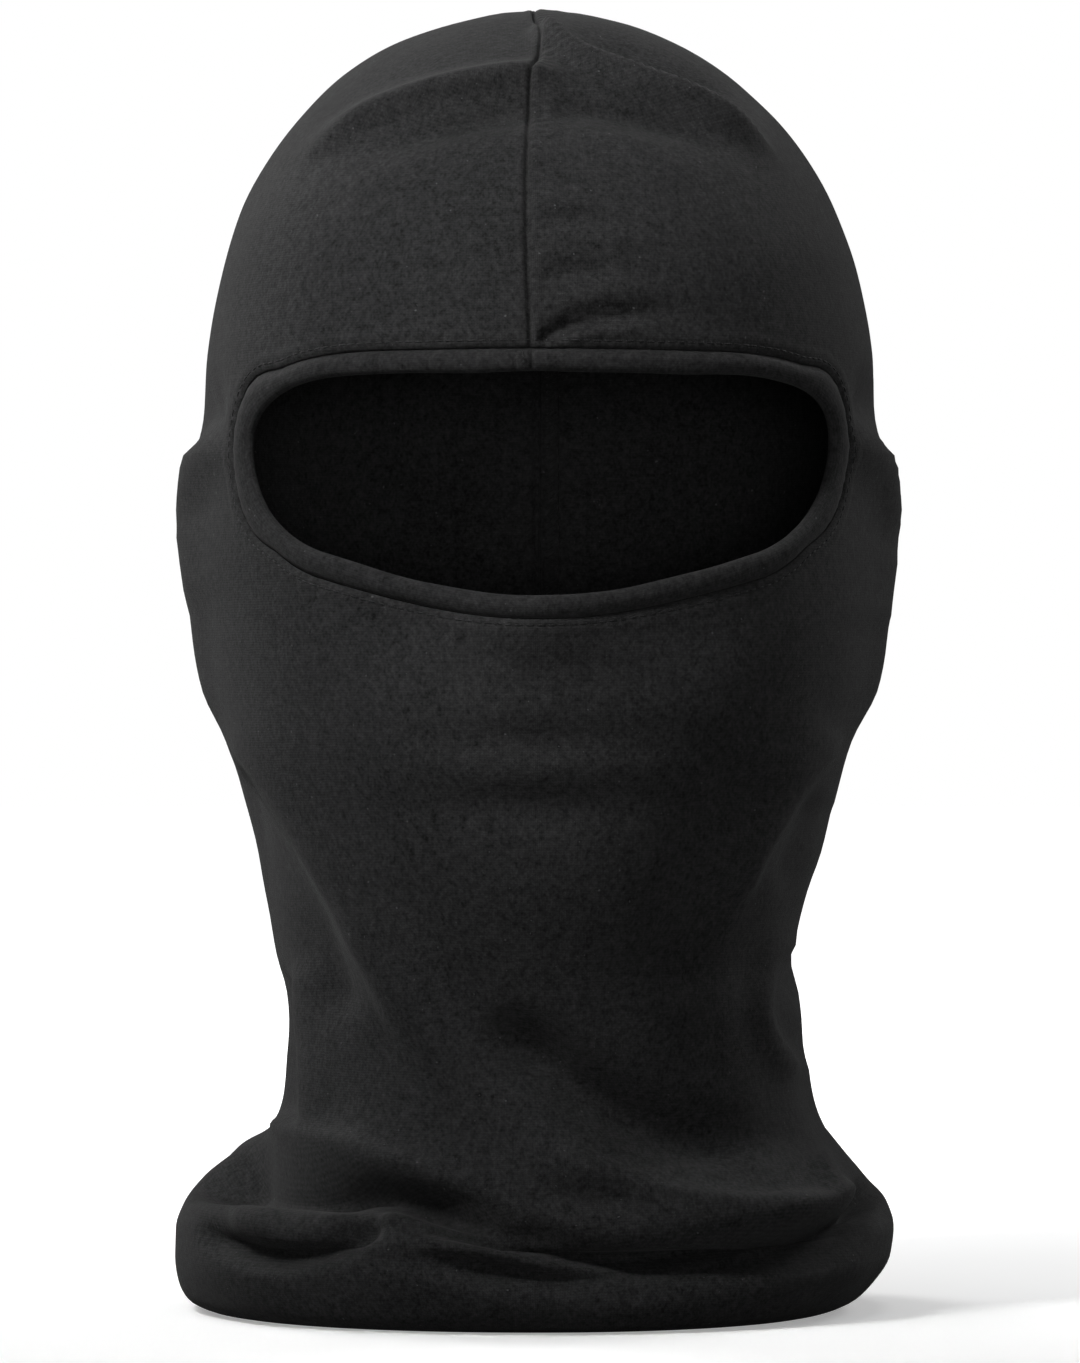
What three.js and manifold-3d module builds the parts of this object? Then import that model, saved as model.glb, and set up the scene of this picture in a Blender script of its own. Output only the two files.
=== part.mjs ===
// A one-hole balaclava of stretch jersey, in the shape that it takes on a head with its neck
// gathered on a table: +Z is up, the face looks along -Y, and the origin is on the table below
// the middle of the head.
//
// One piece of jersey is folded down the front of the face. A single overlocked seam closes it
// over the forehead and crown and down the back, and its allowance lies inside, to +X. A folded
// band finishes the eye opening. The neck ends in a two-row cover-stitched hem, which stands
// turned up inside the gathered neck.

import * as THREE from "three";
import { mergeVertices } from "three/addons/utils/BufferGeometryUtils.js";
import Module from "manifold-3d";

// Driving dimensions, in millimetres.
const HEIGHT = 306; // table to the top of the crown seam
const WIDTH = 170.6; // across the ears, and across the gathered neck
const DEPTH = 208; // nose to the back of the head
const NECK_WIDTH = 120; // across the narrowest part of the neck
const CLOTH = 0.8; // one layer of jersey
const EYE_WIDTH = 130; // eye opening, seen from the front
const EYE_HEIGHT = 50.6;
const EYE_TOP = 217.9; // height of the opening's upper edge
const BAND_WIDTH = 5.6; // folded band that shows round the opening
const ALLOWANCE = 5; // cloth inside each overlocked seam
const SEAM_ROW = 1; // from the closing seam to its needle thread
const BAND_ROW = 1.5; // from the band to the needle thread beside it
const BAND_JOIN = 3; // from the middle to the seam that closes the band's ring
const HEM = 16; // depth of the neck hem
const HEM_FOOT = 3; // the bend between the standing hem and the table
const HEM_ROW = 5; // from that bend up to the hem's lower needle row
const HEM_ROW_GAP = 5; // between the hem's two needle rows
const GATHER = 19; // height at which the gathered neck is widest
const THREAD = 0.5; // needle thread
const LOOPER = 0.8; // overlock and cover-stitch loopers, lying together
const NOSE = 5; // how far the nose lifts the cloth
const EAR = 6; // how far an ear lifts the cloth

// Clearances between separate pieces.
const BUTT_GAP = 0.5; // edge to edge
const STITCH_GAP = 0.35; // thread to cloth
const FACE_GAP = 1; // face to face on curved, faceted cloth

// Fineness of the faceting.
const FRONT_STEPS = 36; // round the front half of the head
const BACK_STEPS = 16; // round the back half
const BAND_STEPS = 72;
const THREAD_SIDES = 5;
const CUTTER_REACH = 7; // how far the opening's cutter stands out on each side of the cloth

const half = WIDTH / 2;
const deep = DEPTH / 2;
const neck = NECK_WIDTH / 2;

// The cloth's outer face as a stack of rings, from the hem's edge inside the neck, down to the
// table, out round the gather and up over the head. Each ring is egg-shaped: side is its half
// width, front and back are where it crosses the middle plane, wide is how far back it is
// widest, and round is 2 for an ellipse and more for a squarer ring.
const ring = (z, side, front, back, wide = 0, round = 2.1) => ({ z, side, front, back, wide, round });
const up = (share) => share * HEIGHT;
const RINGS = [
  ring(HEM_FOOT + HEM, neck + 2, -neck + 1, neck + 6, 4),
  ring(HEM_FOOT + HEM / 2, neck + 1.5, -neck + 0.5, neck + 5.5, 4),
  ring(HEM_FOOT, neck + 1.5, -neck + 0.5, neck + 5.5, 4),
  ring(0, neck + 5, -neck - 3, neck + 9, 4),
  ring(0, half - 10, -half + 12, half - 3, 4),
  ring(GATHER * 0.1, half - 5, -half + 6, half + 2, 4),
  ring(GATHER * 0.45, half - 1.5, -half + 2, half + 6, 4),
  ring(GATHER, half, -half + 0.5, half + 7.5, 4),
  ring(GATHER * 1.35, half - 2.5, -half + 2, half + 5, 4),
  ring(GATHER * 1.75, half - 8, -half + 6, half - 1, 4),
  ring(GATHER * 2.1, neck + 9, -half + 10, neck + 19, 4),
  ring(GATHER * 2.5, neck + 4, -half + 13, neck + 13, 5),
  ring(up(0.188), neck + 1.5, -half + 15, neck + 9, 6),
  ring(up(0.229), neck, -half + 14.5, neck + 6.5, 7),
  ring(up(0.271), neck + 0.2, -half + 9, neck + 5.5, 8),
  ring(up(0.307), neck + 2.5, -deep * 0.84, neck + 6, 8, 2.15),
  ring(up(0.343), neck + 5.2, -deep * 0.89, neck + 8, 8, 2.2),
  ring(up(0.386), half * 0.81, -deep * 0.915, deep * 0.7, 8, 2.2),
  ring(up(0.425), half * 0.843, -deep * 0.925, deep * 0.77, 8, 2.2),
  ring(up(0.46), half * 0.89, -deep * 0.933, deep * 0.84, 8, 2.2),
  ring(up(0.497), half * 0.915, -deep * 0.933, deep * 0.9, 8, 2.2),
  ring(up(0.539), half * 0.927, -deep * 0.925, deep * 0.95, 8, 2.2),
  ring(up(0.582), half * 0.93, -deep * 0.912, deep * 0.982, 8, 2.2),
  ring(up(0.624), half * 0.931, -deep * 0.9, deep * 0.997, 8, 2.2),
  ring(up(0.667), half * 0.93, -deep * 0.893, deep, 8, 2.2),
  ring(up(0.71), half * 0.925, -deep * 0.886, deep * 0.993, 8, 2.2),
  ring(up(0.753), half * 0.903, -deep * 0.87, deep * 0.972, 8, 2.2),
  ring(up(0.8), half * 0.872, -deep * 0.835, deep * 0.93, 7, 2.2),
  ring(up(0.846), half * 0.815, -deep * 0.775, deep * 0.862, 6, 2.15),
  ring(up(0.885), half * 0.74, -deep * 0.695, deep * 0.775, 5, 2.1),
  ring(up(0.92), half * 0.64, -deep * 0.595, deep * 0.665, 4, 2.05),
  ring(up(0.951), half * 0.5, -deep * 0.465, deep * 0.53, 4, 2),
  ring(up(0.975), half * 0.335, -deep * 0.31, deep * 0.37, 4, 2),
  ring(up(0.991), half * 0.2, -deep * 0.17, deep * 0.23, 4, 2),
  ring(HEIGHT - 0.3, half * 0.1, -5, 12, 3, 2),
  ring(HEIGHT, 0, 3, 3, 3, 2),
];
const CROWN = RINGS.length - 1;
const HEM_TOP = 0; // ring at the hem's edge
const HEM_FOLD = 2; // ring where the hem's two layers end
const TABLE_RING = 4; // last ring that lies on the table

// Monotone cubic through evenly spaced values: smooth, and never past the values themselves.
function slopes(values) {
  const steps = values.slice(1).map((value, i) => value - values[i]);
  const harmonic = (a, b) => (a * b > 0 ? (2 * a * b) / (a + b) : 0);
  return values.map((_, i) => {
    if (i === 0) return steps[0];
    if (i === values.length - 1) return steps[i - 1];
    return harmonic(steps[i - 1], steps[i]);
  });
}
const TRACKS = Object.fromEntries(
  Object.keys(RINGS[0]).map((key) => {
    const values = RINGS.map((r) => r[key]);
    return [key, { values, slopes: slopes(values) }];
  }),
);
function ringAt(level) {
  const i = Math.min(Math.max(Math.floor(level), 0), CROWN - 1);
  const t = level - i;
  const blend = ({ values, slopes: m }) => {
    const low = (1 + 2 * t) * (1 - t) ** 2 * values[i] + t * (1 - t) ** 2 * m[i];
    const high = t * t * (3 - 2 * t) * values[i + 1] + t * t * (t - 1) * m[i + 1];
    return low + high;
  };
  return Object.fromEntries(Object.entries(TRACKS).map(([key, track]) => [key, blend(track)]));
}

// The turns at which the cloth's rings are faceted, closer together on the face.
const TURNS = [
  ...Array.from({ length: FRONT_STEPS }, (_, i) => (i / FRONT_STEPS - 0.5) * Math.PI),
  ...Array.from({ length: BACK_STEPS }, (_, i) => (i / BACK_STEPS + 0.5) * Math.PI),
];

// Soft bump, 1 at its middle, with its own width on each side of the middle.
const hill = (offset, below, above) => Math.exp(-((offset / (offset < 0 ? below : above)) ** 2));

// A point on the cloth's outer face. turn is 0 down the front and grows towards +X.
function onCloth(turn, level) {
  const r = ringAt(level);
  const s = Math.sin(turn);
  const c = Math.cos(turn);
  const x = r.side * Math.sign(s) * Math.abs(s) ** (2 / r.round);
  const reach = Math.abs(c) ** (2 / r.round);
  const y = c >= 0 ? r.wide + (r.front - r.wide) * reach : r.wide + (r.back - r.wide) * reach;
  const nose = NOSE * hill(x, 16, 16) * hill(r.z - up(0.5), 28, 24) * (c > 0 ? 1 : 0);
  const ear = EAR * hill(y - r.wide, 22, 24) * hill(r.z - up(0.585), 30, 19);
  return new THREE.Vector3(x + ear * Math.sign(x) * Math.abs(s), y - nose, r.z);
}
const NUDGE = 1e-3;
function acrossAndUp(turn, level) {
  const across = onCloth(turn + NUDGE, level).sub(onCloth(turn - NUDGE, level));
  const high = Math.min(level + NUDGE, CROWN);
  const low = Math.max(level - NUDGE, 0);
  const rise = onCloth(turn, high).sub(onCloth(turn, low));
  return { across: across.divideScalar(2 * NUDGE), rise: rise.divideScalar(high - low) };
}
function outward(turn, level) {
  if (level > CROWN - 0.01) return new THREE.Vector3(0, 0, 1);
  const { across, rise } = acrossAndUp(turn, level);
  return across.cross(rise).normalize();
}
// The point that lies depth below the outer face; a negative depth stands proud of it.
const under = (turn, level, depth) =>
  onCloth(turn, level).addScaledVector(outward(turn, level), -depth);

// The level, above the gather, whose ring is at height z.
function levelAt(z) {
  let low = TABLE_RING;
  let high = CROWN;
  while (high - low > 1e-5) {
    const middle = (low + high) / 2;
    if (ringAt(middle).z < z) low = middle;
    else high = middle;
  }
  return (low + high) / 2;
}
// Where the front of the cloth is crossed by a line along Y through x, z.
function behindFront(x, z) {
  const level = levelAt(z);
  const r = ringAt(level);
  const turn = Math.sign(x) * Math.asin(Math.min(1, Math.abs(x) / r.side) ** (r.round / 2));
  return { turn, level };
}
// The place reached by going a distance along the cloth in a direction that touches it.
function along({ turn, level }, direction, distance) {
  const { across, rise } = acrossAndUp(turn, level);
  const aa = across.dot(across);
  const ar = across.dot(rise);
  const rr = rise.dot(rise);
  const da = across.dot(direction);
  const dr = rise.dot(direction);
  const determinant = aa * rr - ar * ar;
  return {
    turn: turn + (distance * (da * rr - dr * ar)) / determinant,
    level: level + (distance * (dr * aa - da * ar)) / determinant,
  };
}

// The edge of the eye opening, as places on the cloth, clockwise seen from the front.
function eyeEdge() {
  const w = EYE_WIDTH / 2;
  const at = (across, down) => [across * w, EYE_TOP - down * EYE_HEIGHT];
  const edge = new THREE.Path();
  edge.moveTo(...at(0, 0));
  edge.lineTo(...at(0.52, 0.006));
  edge.bezierCurveTo(...at(0.77, 0.006), ...at(1, 0.09), ...at(1, 0.32));
  edge.bezierCurveTo(...at(1, 0.53), ...at(0.94, 0.71), ...at(0.77, 0.8));
  edge.bezierCurveTo(...at(0.6, 0.877), ...at(0.28, 1), ...at(0, 1));
  const right = edge.getSpacedPoints(BAND_STEPS / 2);
  const left = right.slice(1, -1).reverse().map((p) => new THREE.Vector2(-p.x, p.y));
  const places = [...right, ...left].map((p) => behindFront(p.x, p.y));
  const points = places.map((p) => onCloth(p.turn, p.level));
  return places.map((place, i) => {
    const ahead = points[(i + 1) % points.length];
    const behind = points[(i + points.length - 1) % points.length];
    const away = outward(place.turn, place.level).cross(ahead.clone().sub(behind)).normalize();
    return { place, away };
  });
}
const EYE_EDGE = eyeEdge();
// A closed curve round the opening, at one distance from its edge and one depth.
const roundEye = (distance, depth) =>
  EYE_EDGE.map(({ place, away }) => {
    const { turn, level } = along(place, away, distance);
    return under(turn, level, depth);
  });

// The middle line of the closing seam, from above the eye band, over the crown, to the hem.
function seamLine() {
  const start = levelAt(EYE_TOP + BAND_WIDTH + ALLOWANCE + LOOPER + 3 * FACE_GAP);
  const front = [start];
  for (let level = Math.ceil(start + 0.2); level < CROWN; level += 1) front.push(level);
  const back = [];
  for (let level = CROWN; level > HEM_FOLD; level -= 1) back.push(level);
  const at = (turn) => (level) => ({ turn, level });
  return [...front.map(at(0)), ...back.map(at(Math.PI))];
}
const SEAM = seamLine();
// A curve that runs beside the seam, at x, and at one depth below the outer face.
const besideSeam = (x, depth) =>
  SEAM.map(({ turn, level }) => {
    const p = under(turn, level, depth);
    return p.setX(x);
  });

// Geometry from rows of points that all have one length. Rows are joined in order, a closed
// loop of rows meets itself, and an open one gets flat ends.
function skin(rows, { loop }) {
  const count = rows[0].length;
  const vertices = rows.flat().flatMap((p) => [p.x, p.y, p.z]);
  const faces = [];
  const last = loop ? rows.length : rows.length - 1;
  for (let r = 0; r < last; r += 1) {
    for (let i = 0; i < count; i += 1) {
      const a = r * count + i;
      const b = r * count + ((i + 1) % count);
      const shift = ((r + 1) % rows.length) * count - r * count;
      faces.push(a, b, b + shift, a, b + shift, a + shift);
    }
  }
  if (!loop) {
    const end = (rows.length - 1) * count;
    for (let i = 1; i < count - 1; i += 1) {
      faces.push(0, i + 1, i, end, end + i, end + i + 1);
    }
  }
  const geometry = new THREE.BufferGeometry();
  geometry.setAttribute("position", new THREE.Float32BufferAttribute(vertices, 3));
  geometry.setIndex(faces);
  return facingOut(geometry);
}
// The same geometry, with its faces turned round if they point inwards.
function facingOut(geometry) {
  const { array } = geometry.attributes.position;
  const faces = geometry.index.array;
  const corner = (i) => new THREE.Vector3().fromArray(array, faces[i] * 3);
  let volume = 0;
  for (let i = 0; i < faces.length; i += 3) {
    volume += corner(i).dot(corner(i + 1).cross(corner(i + 2)));
  }
  if (volume < 0) {
    for (let i = 0; i < faces.length; i += 3) [faces[i], faces[i + 1]] = [faces[i + 1], faces[i]];
  }
  return geometry;
}
// A round thread along a line of points, given the outward direction at each point.
function threadAlong(points, lifts, diameter, loop) {
  const rows = points.map((p, i) => {
    const ahead = points[loop ? (i + 1) % points.length : Math.min(i + 1, points.length - 1)];
    const behind = points[loop ? (i + points.length - 1) % points.length : Math.max(i - 1, 0)];
    const forward = ahead.clone().sub(behind).normalize();
    const sideways = forward.clone().cross(lifts[i]).normalize();
    const lift = sideways.clone().cross(forward).normalize();
    return Array.from({ length: THREAD_SIDES }, (_, k) => {
      const angle = (k / THREAD_SIDES) * 2 * Math.PI;
      const reach = diameter / 2;
      return p
        .clone()
        .addScaledVector(lift, reach * Math.cos(angle))
        .addScaledVector(sideways, reach * Math.sin(angle));
    });
  });
  return skin(rows, { loop });
}

// Booleans.
const wasm = await Module();
wasm.setup();
function solidOf(geometry) {
  const bare = new THREE.BufferGeometry();
  bare.setAttribute("position", geometry.attributes.position.clone());
  bare.setIndex(geometry.index.clone());
  const merged = mergeVertices(bare, 1e-4);
  return new wasm.Manifold(
    new wasm.Mesh({
      numProp: 3,
      vertProperties: merged.attributes.position.array,
      triVerts: new Uint32Array(merged.index.array),
    }),
  );
}
function geometryOf(solid) {
  const mesh = solid.getMesh();
  const geometry = new THREE.BufferGeometry();
  const vertices = Float32Array.from(mesh.vertProperties);
  geometry.setAttribute("position", new THREE.BufferAttribute(vertices, 3));
  geometry.setIndex(new THREE.BufferAttribute(Uint32Array.from(mesh.triVerts), 1));
  return geometry;
}

// The jersey: outer and inner faces, joined along the hem's edge and closed at the crown.
function jerseyShell() {
  const rows = [];
  for (let level = HEM_TOP; level < CROWN; level += 1) {
    rows.push(TURNS.map((turn) => onCloth(turn, level)));
  }
  rows.push(TURNS.map(() => onCloth(0, CROWN)));
  rows.push(TURNS.map(() => under(0, CROWN, CLOTH)));
  for (let level = CROWN - 1; level >= HEM_TOP; level -= 1) {
    const layers = level <= HEM_FOLD ? 2 : 1;
    rows.push(TURNS.map((turn) => under(turn, level, layers * CLOTH)));
  }
  return skin(rows, { loop: true });
}
// The seam's allowance: two layers that lie against the inside, from the seam line to +X.
function seamAllowance() {
  const sunk = CLOTH / 2; // runs into the shell, because it is the same cloth
  const outerLeft = besideSeam(0, CLOTH - sunk);
  const outerRight = besideSeam(ALLOWANCE, CLOTH - sunk);
  const innerRight = besideSeam(ALLOWANCE, 3 * CLOTH);
  const innerLeft = besideSeam(0, 3 * CLOTH);
  const rows = SEAM.map((_, i) => [outerLeft[i], outerRight[i], innerRight[i], innerLeft[i]]);
  return skin(rows, { loop: false });
}
// What is cut from the shell for the band and the opening inside it. It comes to a point well in
// front of the face, so that it clears the whole curve of the cloth.
function eyeCutter() {
  const outside = roundEye(BAND_WIDTH, -CUTTER_REACH);
  const inside = roundEye(BAND_WIDTH, CUTTER_REACH);
  const point = new THREE.Vector3(0, -DEPTH, EYE_TOP - EYE_HEIGHT / 2);
  const hollow = new THREE.Vector3(0, CUTTER_REACH - deep / 2, point.z);
  const rows = [outside.map(() => point), outside, inside, inside.map(() => hollow)];
  return skin(rows, { loop: false });
}
function hoodPanel() {
  const whole = solidOf(jerseyShell()).add(solidOf(seamAllowance()));
  return geometryOf(whole.subtract(solidOf(eyeCutter())));
}

// The folded band: a soft roll that shows, and a flange under the jersey's edge where it is sewn.
function eyeBand() {
  const proud = CLOTH / 2;
  const seam = BAND_WIDTH - BUTT_GAP;
  const flange = CLOTH + FACE_GAP;
  const section = [
    [0, CLOTH],
    [CLOTH, -proud],
    [seam - CLOTH, -proud],
    [seam, proud],
    [seam, flange],
    [BAND_WIDTH + ALLOWANCE, flange],
    [BAND_WIDTH + ALLOWANCE, flange + CLOTH],
    [CLOTH, 3 * CLOTH],
  ];
  const curves = section.map(([distance, depth]) => roundEye(distance, depth));
  const rows = EYE_EDGE.map((_, i) => curves.map((curve) => curve[i]));
  return skin(rows, { loop: true });
}
const eyeLifts = EYE_EDGE.map(({ place }) => outward(place.turn, place.level));
// The row of needle thread beside the band, on the outside.
const eyeNeedleThread = () =>
  threadAlong(roundEye(BAND_WIDTH + BAND_ROW, -(STITCH_GAP + THREAD / 2)), eyeLifts, THREAD, true);
// The loopers that wrap the raw edges inside.
const eyeOverlockThread = () => {
  const depth = CLOTH + FACE_GAP + STITCH_GAP / 2 + LOOPER / 2;
  const distance = BAND_WIDTH + ALLOWANCE + STITCH_GAP + LOOPER / 2;
  return threadAlong(roundEye(distance, depth), eyeLifts, LOOPER, true);
};
// The short seam that closes the band's ring, beside the crown seam.
function bandJoinThread() {
  const x = -BAND_JOIN;
  const rise = [BAND_WIDTH * 0.15, BAND_WIDTH * 0.8];
  const points = rise.map((distance) => {
    const { turn, level } = behindFront(x, EYE_TOP + distance);
    return under(turn, level, -(CLOTH / 2 + STITCH_GAP + THREAD / 2));
  });
  const lift = outward(0, levelAt(EYE_TOP));
  return threadAlong(points, [lift, lift], THREAD, false);
}
const seamLifts = SEAM.map(({ turn, level }) => outward(turn, level));
const seamNeedleThread = () =>
  threadAlong(besideSeam(SEAM_ROW, 3 * CLOTH + STITCH_GAP + THREAD / 2), seamLifts, THREAD, false);
const seamOverlockThread = () =>
  threadAlong(
    besideSeam(ALLOWANCE + STITCH_GAP + LOOPER / 2, CLOTH + FACE_GAP + LOOPER / 2),
    seamLifts,
    LOOPER,
    false,
  );
// A thread right round the hem at one height, proud of the outer face or behind the turned layer.
function hemThread(height, depth, diameter) {
  const level = HEM_FOLD * (1 - (height - HEM_FOOT) / HEM);
  const points = TURNS.map((turn) => under(turn, level, depth));
  const lifts = TURNS.map((turn) => outward(turn, level));
  return threadAlong(points, lifts, diameter, true);
}
const lowerRow = HEM_FOOT + HEM_ROW;
const upperRow = lowerRow + HEM_ROW_GAP;
const outsideRow = -(STITCH_GAP + THREAD / 2);
const insideRow = 2 * CLOTH + STITCH_GAP + LOOPER / 2;

// Materials.
const jersey = new THREE.MeshStandardMaterial({ color: 0x2b2b2b, roughness: 0.9, metalness: 0 });
const band = new THREE.MeshStandardMaterial({ color: 0x262626, roughness: 0.9, metalness: 0 });
const thread = new THREE.MeshStandardMaterial({ color: 0x1d1d1d, roughness: 0.7, metalness: 0 });

const balaclava = new THREE.Group();
function add(name, geometry, material) {
  const mesh = new THREE.Mesh(geometry, material);
  mesh.name = name;
  balaclava.add(mesh);
}
add("hood_panel", hoodPanel(), jersey);
add("eye_band", eyeBand(), band);
add("eye_band_needle_thread", eyeNeedleThread(), thread);
add("eye_band_overlock_thread", eyeOverlockThread(), thread);
add("eye_band_join_thread", bandJoinThread(), thread);
add("closing_seam_needle_thread", seamNeedleThread(), thread);
add("closing_seam_overlock_thread", seamOverlockThread(), thread);
add("neck_hem_lower_needle_thread", hemThread(lowerRow, outsideRow, THREAD), thread);
add("neck_hem_upper_needle_thread", hemThread(upperRow, outsideRow, THREAD), thread);
add("neck_hem_looper_thread", hemThread((lowerRow + upperRow) / 2, insideRow, LOOPER), thread);

export default balaclava;
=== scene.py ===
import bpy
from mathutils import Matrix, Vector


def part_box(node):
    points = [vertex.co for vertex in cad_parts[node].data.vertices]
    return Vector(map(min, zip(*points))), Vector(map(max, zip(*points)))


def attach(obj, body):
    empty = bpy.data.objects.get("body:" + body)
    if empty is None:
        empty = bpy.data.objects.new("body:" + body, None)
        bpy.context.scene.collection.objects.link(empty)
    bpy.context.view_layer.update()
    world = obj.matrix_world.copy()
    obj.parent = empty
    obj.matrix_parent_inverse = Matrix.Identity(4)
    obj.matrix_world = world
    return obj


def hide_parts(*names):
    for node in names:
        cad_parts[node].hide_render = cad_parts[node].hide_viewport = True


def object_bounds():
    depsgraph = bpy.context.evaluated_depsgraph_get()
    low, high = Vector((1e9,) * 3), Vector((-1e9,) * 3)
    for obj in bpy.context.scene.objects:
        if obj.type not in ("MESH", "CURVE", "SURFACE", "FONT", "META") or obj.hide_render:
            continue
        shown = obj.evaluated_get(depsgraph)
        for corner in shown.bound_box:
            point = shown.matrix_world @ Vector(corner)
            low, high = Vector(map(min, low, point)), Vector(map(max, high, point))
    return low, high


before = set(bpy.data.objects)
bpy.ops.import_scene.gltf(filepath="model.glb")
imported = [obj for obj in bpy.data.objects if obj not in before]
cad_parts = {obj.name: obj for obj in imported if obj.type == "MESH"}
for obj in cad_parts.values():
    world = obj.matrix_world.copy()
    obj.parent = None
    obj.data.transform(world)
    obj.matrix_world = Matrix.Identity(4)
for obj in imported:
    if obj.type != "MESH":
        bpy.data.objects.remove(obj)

"""The looks of a one-hole stretch-jersey balaclava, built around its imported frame.

The hood's cloth is one panel, laid on the form of a head and a gathered neck, with its folds, the
eye opening's folded band, the closing seam over the crown and down the back, and every row of
stitches as pieces of their own. All lengths are in metres.
"""

import logging
import math
from dataclasses import dataclass, field, fields
from enum import Enum
from typing import Sequence

import bmesh
import bpy
import numpy as np
from mathutils import Vector, geometry

log = logging.getLogger("balaclava")
MM = 0.001
BODY = "root"
CAD_BOX = [list(corner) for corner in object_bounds()]

Array = np.ndarray


# ---------------------------------------------------------------------------- form of the cloth


@dataclass(frozen=True)
class Ring:
    """One level of the cloth as an egg-shaped ring, in millimetres of a hood 306 mm high.

    z is its height. left and right are its reach to -X and +X, front and back its ends in y, and
    wide the y at which it is widest. round is the power of its curve: 2 is an ellipse.
    """

    z: float
    left: float
    right: float
    front: float
    back: float
    wide: float = 8.0
    round: float = 2.2


RINGS: tuple[Ring, ...] = (
    Ring(19.0, 62.0, 62.0, -59.0, 66.0, 4.0, 2.1),
    Ring(11.0, 61.5, 61.5, -59.5, 65.5, 4.0, 2.1),
    Ring(3.2, 61.5, 61.5, -59.5, 65.5, 4.0, 2.1),
    Ring(0.2, 64.5, 64.5, -62.5, 68.5, 4.0, 2.1),
    Ring(0.2, 75.0, 67.5, -75.0, 83.0, 4.0, 2.1),
    Ring(2.0, 81.5, 73.8, -80.5, 88.5, 4.0, 2.1),
    Ring(7.0, 84.8, 79.6, -84.0, 91.5, 4.0, 2.1),
    Ring(13.0, 86.0, 83.8, -86.0, 93.0, 4.0, 2.1),
    Ring(19.0, 85.8, 84.6, -86.0, 92.8, 4.0, 2.1),
    Ring(25.0, 83.6, 83.0, -84.0, 90.5, 4.0, 2.1),
    Ring(31.0, 79.0, 78.8, -81.0, 86.5, 4.0, 2.1),
    Ring(37.0, 70.5, 73.4, -80.2, 82.0, 4.0, 2.1),
    Ring(43.0, 62.2, 68.4, -79.4, 78.0, 5.0, 2.1),
    Ring(50.0, 60.0, 65.6, -79.0, 73.5, 5.5, 2.1),
    Ring(58.0, 59.3, 63.8, -79.4, 69.8, 6.0, 2.1),
    Ring(66.0, 58.8, 63.0, -80.6, 67.5, 6.5, 2.1),
    Ring(74.0, 59.4, 61.8, -82.6, 66.2, 7.0, 2.1),
    Ring(82.0, 61.0, 60.0, -84.8, 65.6, 8.0, 2.1),
    Ring(90.0, 62.6, 61.8, -87.2, 65.8, 8.0, 2.12),
    Ring(98.0, 64.2, 63.8, -89.4, 66.8, 8.0, 2.15),
    Ring(108.0, 66.2, 67.2, -91.8, 69.2, 8.0, 2.2),
    Ring(120.0, 69.4, 70.2, -94.2, 74.0),
    Ring(133.0, 73.0, 73.4, -96.6, 82.5),
    Ring(147.0, 76.4, 77.6, -97.0, 91.0),
    Ring(162.0, 78.2, 79.2, -96.4, 97.5),
    Ring(178.0, 79.0, 79.6, -95.0, 101.8),
    Ring(191.0, 79.2, 79.8, -93.8, 103.6),
    Ring(204.0, 79.3, 80.0, -92.8, 104.0),
    Ring(217.0, 78.8, 79.8, -92.0, 103.2),
    Ring(230.0, 77.2, 78.4, -90.4, 101.2),
    Ring(245.0, 74.3, 75.2, -86.8, 96.6, 7.0),
    Ring(259.0, 69.9, 70.3, -80.6, 89.6, 6.0, 2.15),
    Ring(271.0, 63.4, 63.9, -72.3, 80.6, 5.0, 2.1),
    Ring(281.5, 55.5, 55.5, -61.9, 69.2, 4.0, 2.05),
    Ring(291.0, 46.0, 45.2, -48.4, 55.1, 4.0, 2.0),
    Ring(298.4, 34.0, 33.2, -32.2, 38.5, 4.0, 2.0),
    Ring(303.4, 18.5, 20.0, -17.0, 24.0, 4.0, 2.0),
    Ring(305.6, 8.0, 9.0, -5.0, 12.0, 3.0, 2.0),
    Ring(306.0, 0.0, 0.0, 3.0, 3.0, 3.0, 2.0),
)
# Levels count the rings from the hem's raw edge: its fold, the ring on the table, and the crown.
HEM_FOLD = 2
TABLE_RING = 4
CROWN = len(RINGS) - 1

# Lengths of the sewing and of the knit, all round the hood.
STITCH = 2.5 * MM
NEEDLE_THREAD = 0.34 * MM
LOOPER_THREAD = 0.32 * MM
THREAD_SIDES = 6
SEAM_SPACING = 1.2 * MM
WALE, COURSE = 0.72 * MM, 0.58 * MM


class MonotoneTrack:
    """A smooth curve through evenly spaced values, which never swings past them."""

    def __init__(self, values: Sequence[float]) -> None:
        """Works out the slope at each value.

        Args:
            values: the values at levels 0, 1, 2 and on.
        """
        self.values = np.asarray(values, float)
        steps = np.diff(self.values)
        before, after = steps[:-1], steps[1:]
        total = np.where(before + after == 0, 1.0, before + after)
        middle = np.where(before * after > 0, 2 * before * after / total, 0.0)
        self.slopes = np.concatenate([steps[:1], middle, steps[-1:]])

    def __call__(self, level: Array) -> Array:
        """Reads the curve.

        Args:
            level: levels, whole or not.
        Returns:
            The curve's value at each level.
        """
        i = np.clip(np.floor(level).astype(int), 0, len(self.values) - 2)
        t = level - i
        low = (1 + 2 * t) * (1 - t) ** 2 * self.values[i] + t * (1 - t) ** 2 * self.slopes[i]
        high = t * t * (3 - 2 * t) * self.values[i + 1] + t * t * (t - 1) * self.slopes[i + 1]
        return low + high


def hill(offset: Array, below: float, above: float) -> Array:
    """A soft bump, 1 at its middle, with its own width on each side.

    Args:
        offset: distance from the middle.
        below: width where the offset is negative.
        above: width where it is positive.
    Returns:
        The bump's height at each offset.
    """
    return np.exp(-((offset / np.where(offset < 0, below, above)) ** 2))


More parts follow.
